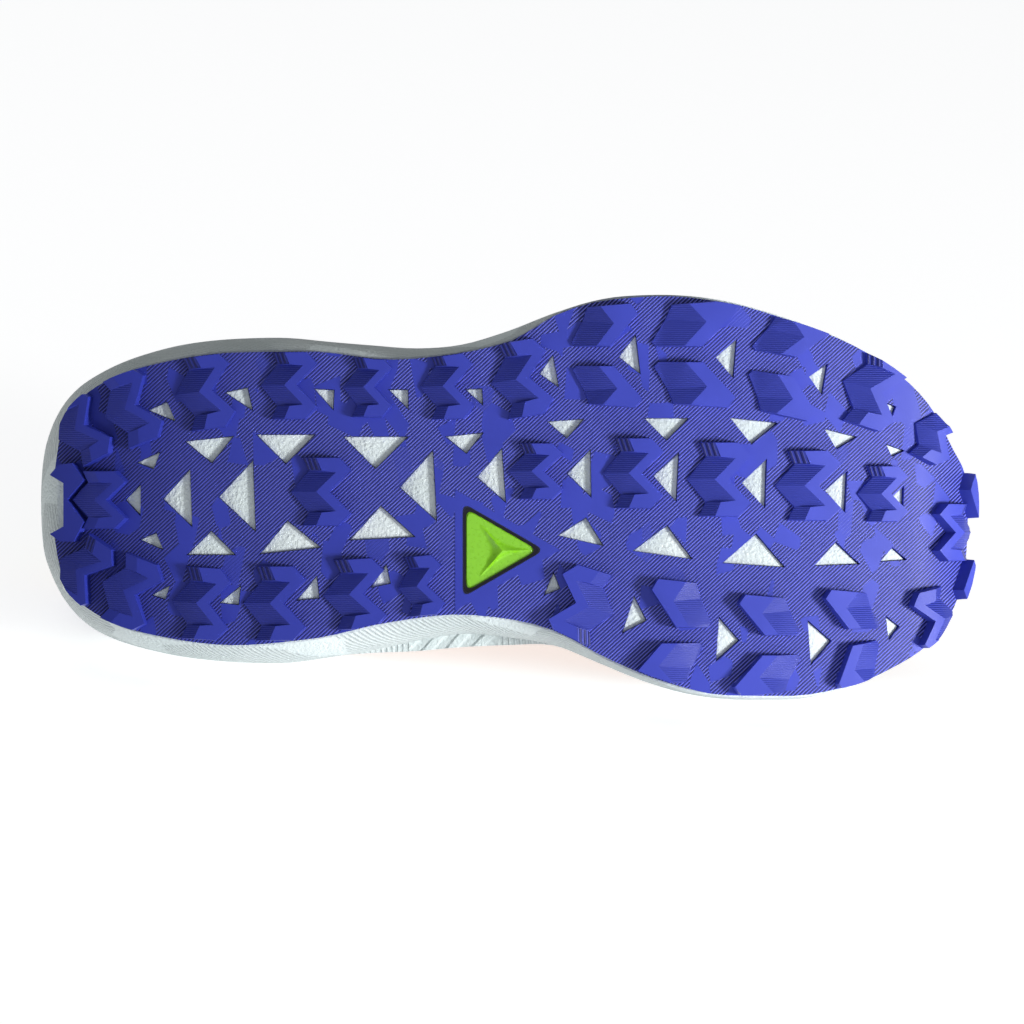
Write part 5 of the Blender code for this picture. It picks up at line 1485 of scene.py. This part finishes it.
def build_stitches():
    """Two rows of short stitches along the collar and one along each side of the eyestay."""
    end = column_at(COLLAR_TO, 1)
    pieces = []
    for down in COLLAR_SEAMS:
        pieces += seam(np.linspace(-end, end, 120), ROWS - down, STITCH_LIFT)
    start, stop, down = EYESTAY_SEAM
    for side in (1, -1):
        columns = np.linspace(column_at(start, side), column_at(stop, side), 50)
        pieces += seam(columns, ROWS - down, OVERLAY_GAP + OVERLAY + STITCH_LIFT)
    stitches = new_object("stitches", *gather(pieces), 60)
    place(stitches, thread_material(), slot="upper")


# Tongue, lace and heel tab.

def tongue_section(c_medial, lift):
    c_lateral = FINE_RING - c_medial
    closed = ridge(c_medial)
    rows = (ROWS - 2, ROWS - 1, ROWS - 0.5 if closed else ROWS)
    medial = [(on_surface(c_medial, r, lift), on_surface(c_medial, r, lift - TONGUE_WING)) for r in rows]
    lateral = [(on_surface(c_lateral, r, lift), on_surface(c_lateral, r, lift - TONGUE_WING)) for r in rows]
    up = (Vector(NORMAL[FINE_ROWS, c_medial]) + Vector(NORMAL[FINE_ROWS, c_lateral])).normalized()
    if closed:
        crown = on_surface(c_medial, ROWS, lift)
    else:
        half = (medial[-1][0] - lateral[-1][0]).length / 2.0
        crown = (medial[-1][0] + lateral[-1][0]) / 2.0 + up * half * TONGUE_CROWN
    outer = [p[0] for p in medial] + [crown] + [p[0] for p in reversed(lateral)]
    inner = [p[1] for p in medial] + [crown - up * TONGUE_MIDDLE] + [p[1] for p in reversed(lateral)]
    for k in (2, 4):
        inner[k] = inner[k] - up * (TONGUE_MIDDLE - TONGUE_WING) * 0.5
    return outer, inner


def build_tongue():
    """Padded tongue: sections under the throat, then the free top end."""
    front = math.ceil(column_at(TONGUE_FRONT, 1) / FINE)
    top = math.floor(column_at(TONGUE_TOP_AT, 1) / FINE)
    sections = [tongue_section(c * FINE, -WALL - TONGUE_GAP) for c in range(front, top - 1, -1)]
    outer, inner = sections[-1]
    centre = (outer[3] + inner[3]) / 2.0
    along, up = TONGUE_WAY
    thick_way = Vector((up, 0.0, -along)).normalized()
    for distance, width, thick in TONGUE_TOP:
        grown = []
        for sign in (0.5, -0.5):
            points = []
            for p, q in zip(outer, inner):
                point = (p + q) / 2.0 + Vector((along, 0.0, up)) * distance
                point += thick_way * sign * mix(TONGUE_WING, TONGUE_PAD, thick)
                point.y = centre.y + (point.y - centre.y) * width
                points.append(point)
            grown.append(points)
        sections.append(tuple(grown))
    loops = [outer + list(reversed(inner)) for outer, inner in sections]
    tongue = new_object("tongue_pad", *loft(loops))
    count = len(loops[0])
    cloth_uv(tongue, [(k * 0.010, i * 0.006) for k in range(len(loops)) for i in range(count)])
    modifier = tongue.modifiers.new("round", "SUBSURF")
    modifier.levels = modifier.render_levels = 2
    apply_modifiers(tongue)
    tidy(tongue)
    smooth(tongue, 80)
    place(tongue, lining_material(), slot="tongue", replaces="tongue")


def sweep(path, width_way, width, thick, sides=12, narrow_ends=1.0):
    """Closed strap with rounded edges along a path, and cloth coordinates for its points."""
    loops = []
    cloth = []
    run = 0.0
    for k, point in enumerate(path):
        before = path[max(k - 1, 0)]
        after = path[min(k + 1, len(path) - 1)]
        along = (after - before).normalized()
        wide = (width_way - along * width_way.dot(along)).normalized()
        up = along.cross(wide)
        if k:
            run += (point - path[k - 1]).length
        share = narrow_ends if k in (0, len(path) - 1) else 1.0
        loop = []
        for j in range(sides):
            turn = 2.0 * math.pi * j / sides
            x = math.copysign(abs(math.cos(turn)) ** 0.45, math.cos(turn))
            z = math.copysign(abs(math.sin(turn)) ** 0.8, math.sin(turn))
            loop.append(point + wide * x * width / 2.0 * share + up * z * thick / 2.0)
            cloth.append((run, x * width / 2.0))
        loops.append(loop)
    return loft(loops), cloth


def eyelet_point(along, side, lift):
    return on_surface(column_at(along, side), EYELET_ROW, lift)


def build_lace():
    """Lace over the tongue, run down through the eyelets at both ends of each crossing."""
    way = on_surface(column_at(EYELETS[-1], 1), ROWS) - on_surface(column_at(EYELETS[0], 1), ROWS)
    way.y = 0.0
    way.normalize()
    runs = [(EYELETS[0], EYELETS[0], 0.0)]
    for a, b in zip(EYELETS, EYELETS[1:]):
        runs += [(a, b, LACE_LAYERS[0]), (b, a, LACE_LAYERS[1])]
    pieces = []
    cloth = []
    for medial, lateral, layer in runs:
        normal = normal_at(column_at(medial, 1), ROWS) + normal_at(column_at(lateral, -1), ROWS)
        lift = LACE_LIFT + LACE_RISE + layer
        near = on_surface(column_at(mix(medial, lateral, LACE_NEAR), 1), ROWS, lift)
        far = on_surface(column_at(mix(lateral, medial, LACE_NEAR), -1), ROWS, lift)
        dip = LACE_LIFT - LACE_DIP + layer
        points = [eyelet_point(medial, 1, LACE_END), eyelet_point(medial, 1, dip), near,
                  (near + far) / 2.0 + normal.normalized() * (LACE_CROWN + layer), far,
                  eyelet_point(lateral, -1, dip), eyelet_point(lateral, -1, LACE_END)]
        mesh, coordinates = sweep(smooth_path(points), way, LACE_WIDTH, LACE_THICK, narrow_ends=LACE_PINCH)
        pieces.append(mesh)
        cloth += coordinates
    lace = new_object("lace_cord", *gather(pieces))
    cloth_uv(lace, cloth)
    tidy(lace)
    smooth(lace, 55)
    braid = braid_material("lace_braid", (0.10, 0.30, 0.015), (0.30, 0.68, 0.05), 0.0011)
    place(lace, braid, slot="lace", replaces="lace")


def eyelet_ring(along, side):
    c = column_at(along, side)
    centre = on_surface(c, EYELET_ROW, OVERLAY_GAP + OVERLAY + 0.0001)
    axis = normal_at(c, EYELET_ROW)
    across = axis.cross(Vector((0.0, 1.0, 0.0))).normalized()
    third = axis.cross(across)
    verts = []
    faces = []
    around, tube = EYELET_STEPS
    for i in range(around):
        turn = 2.0 * math.pi * i / around
        out = across * math.cos(turn) + third * math.sin(turn)
        for j in range(tube):
            roll = 2.0 * math.pi * j / tube
            verts.append(centre + out * (EYELET_RADIUS + EYELET_ROUND * math.cos(roll))
                         + axis * EYELET_TALL * math.sin(roll))
            i2, j2 = (i + 1) % around, (j + 1) % tube
            faces.append((i * tube + j, i2 * tube + j, i2 * tube + j2, i * tube + j2))
    return verts, faces


def build_eyelets():
    rings = [eyelet_ring(along, side) for along in EYELETS for side in (1, -1)]
    place(new_object("eyelet_rings", *gather(rings), 60), eyelet_material(), slot="eyestay")


def build_heel_tab():
    """Webbing tab, sewn to the heel and standing up past the collar."""
    away = TAB_THICK / 2.0 + TAB_GAP
    path = [on_surface(0, ROWS - down, away) for down in TAB_ROWS]
    path.append(path[-1] + Vector((-TAB_LEAN, 0.0, TAB_RISE / 2.0)))
    path.append(path[-2] + Vector((0.0, 0.0, TAB_RISE)))
    mesh, coordinates = sweep(smooth_path(path), Vector((0.0, 1.0, 0.0)), TAB_WIDTH, TAB_THICK, sides=16)
    tab = new_object("heel_webbing", *mesh)
    cloth_uv(tab, coordinates)
    smooth(tab, 60)
    webbing = braid_material("webbing", (0.11, 0.32, 0.015), (0.28, 0.64, 0.04), 0.0014)
    place(tab, webbing, slot="heel_tab", replaces="heel_tab")


# Stage, light and camera.

def aim(obj, position, target, up):
    back = (position - target).normalized()
    right = up.cross(back).normalized()
    turn = Matrix((right, back.cross(right), back)).transposed()
    obj.matrix_world = Matrix.Translation(position) @ turn.to_4x4()


def area_light(name, position, target, size, power):
    data = bpy.data.lights.new(name, "AREA")
    data.shape = "DISK"
    data.size = size
    data.energy = power
    obj = bpy.data.objects.new(name, data)
    bpy.context.scene.collection.objects.link(obj)
    aim(obj, Vector(position), Vector(target), Vector((0.0, 0.0, 1.0)))


def build_stage():
    floor_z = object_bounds()[0].z
    corners = ((-1.0, -1.0), (1.0, -1.0), (1.0, 1.0), (-1.0, 1.0))
    verts = [(x * FLOOR_HALF, y * FLOOR_HALF, floor_z) for x, y in corners]
    floor = new_object("floor", verts, [(0, 1, 2, 3)])
    floor.data.materials.append(floor_material())


def build_lights():
    world = bpy.data.worlds.new("studio")
    bpy.context.scene.world = world
    world.use_nodes = True
    background = world.node_tree.nodes["Background"]
    color, strength = SKY
    background.inputs["Color"].default_value = color
    background.inputs["Strength"].default_value = strength
    for row in LIGHTS:
        area_light(*row)


def build_camera():
    """Square to the tread from below, medial side down in the picture."""
    data = bpy.data.cameras.new("camera")
    data.sensor_width = SENSOR
    data.lens = SENSOR * CAMERA_AWAY / VIEW_WIDTH
    data.clip_start = 0.05
    data.clip_end = 20.0
    camera = bpy.data.objects.new("camera", data)
    bpy.context.scene.collection.objects.link(camera)
    target = TURN @ Vector((VIEW_X, VIEW_Y, LUG_HEIGHT))
    position = TURN @ Vector((VIEW_X, VIEW_Y, LUG_HEIGHT - CAMERA_AWAY))
    aim(camera, position, target, TURN.to_3x3() @ Vector((0.0, -1.0, 0.0)))
    bpy.context.scene.camera = camera


build_camera()
build_outsole()
build_badge()
build_midsole()
build_window_foam()
build_insole()
build_upper()
build_overlays()
build_collar()
build_stitches()
build_tongue()
build_lace()
build_eyelets()
build_heel_tab()
build_stage()
build_lights()
bpy.context.scene.view_settings.view_transform = "Standard"
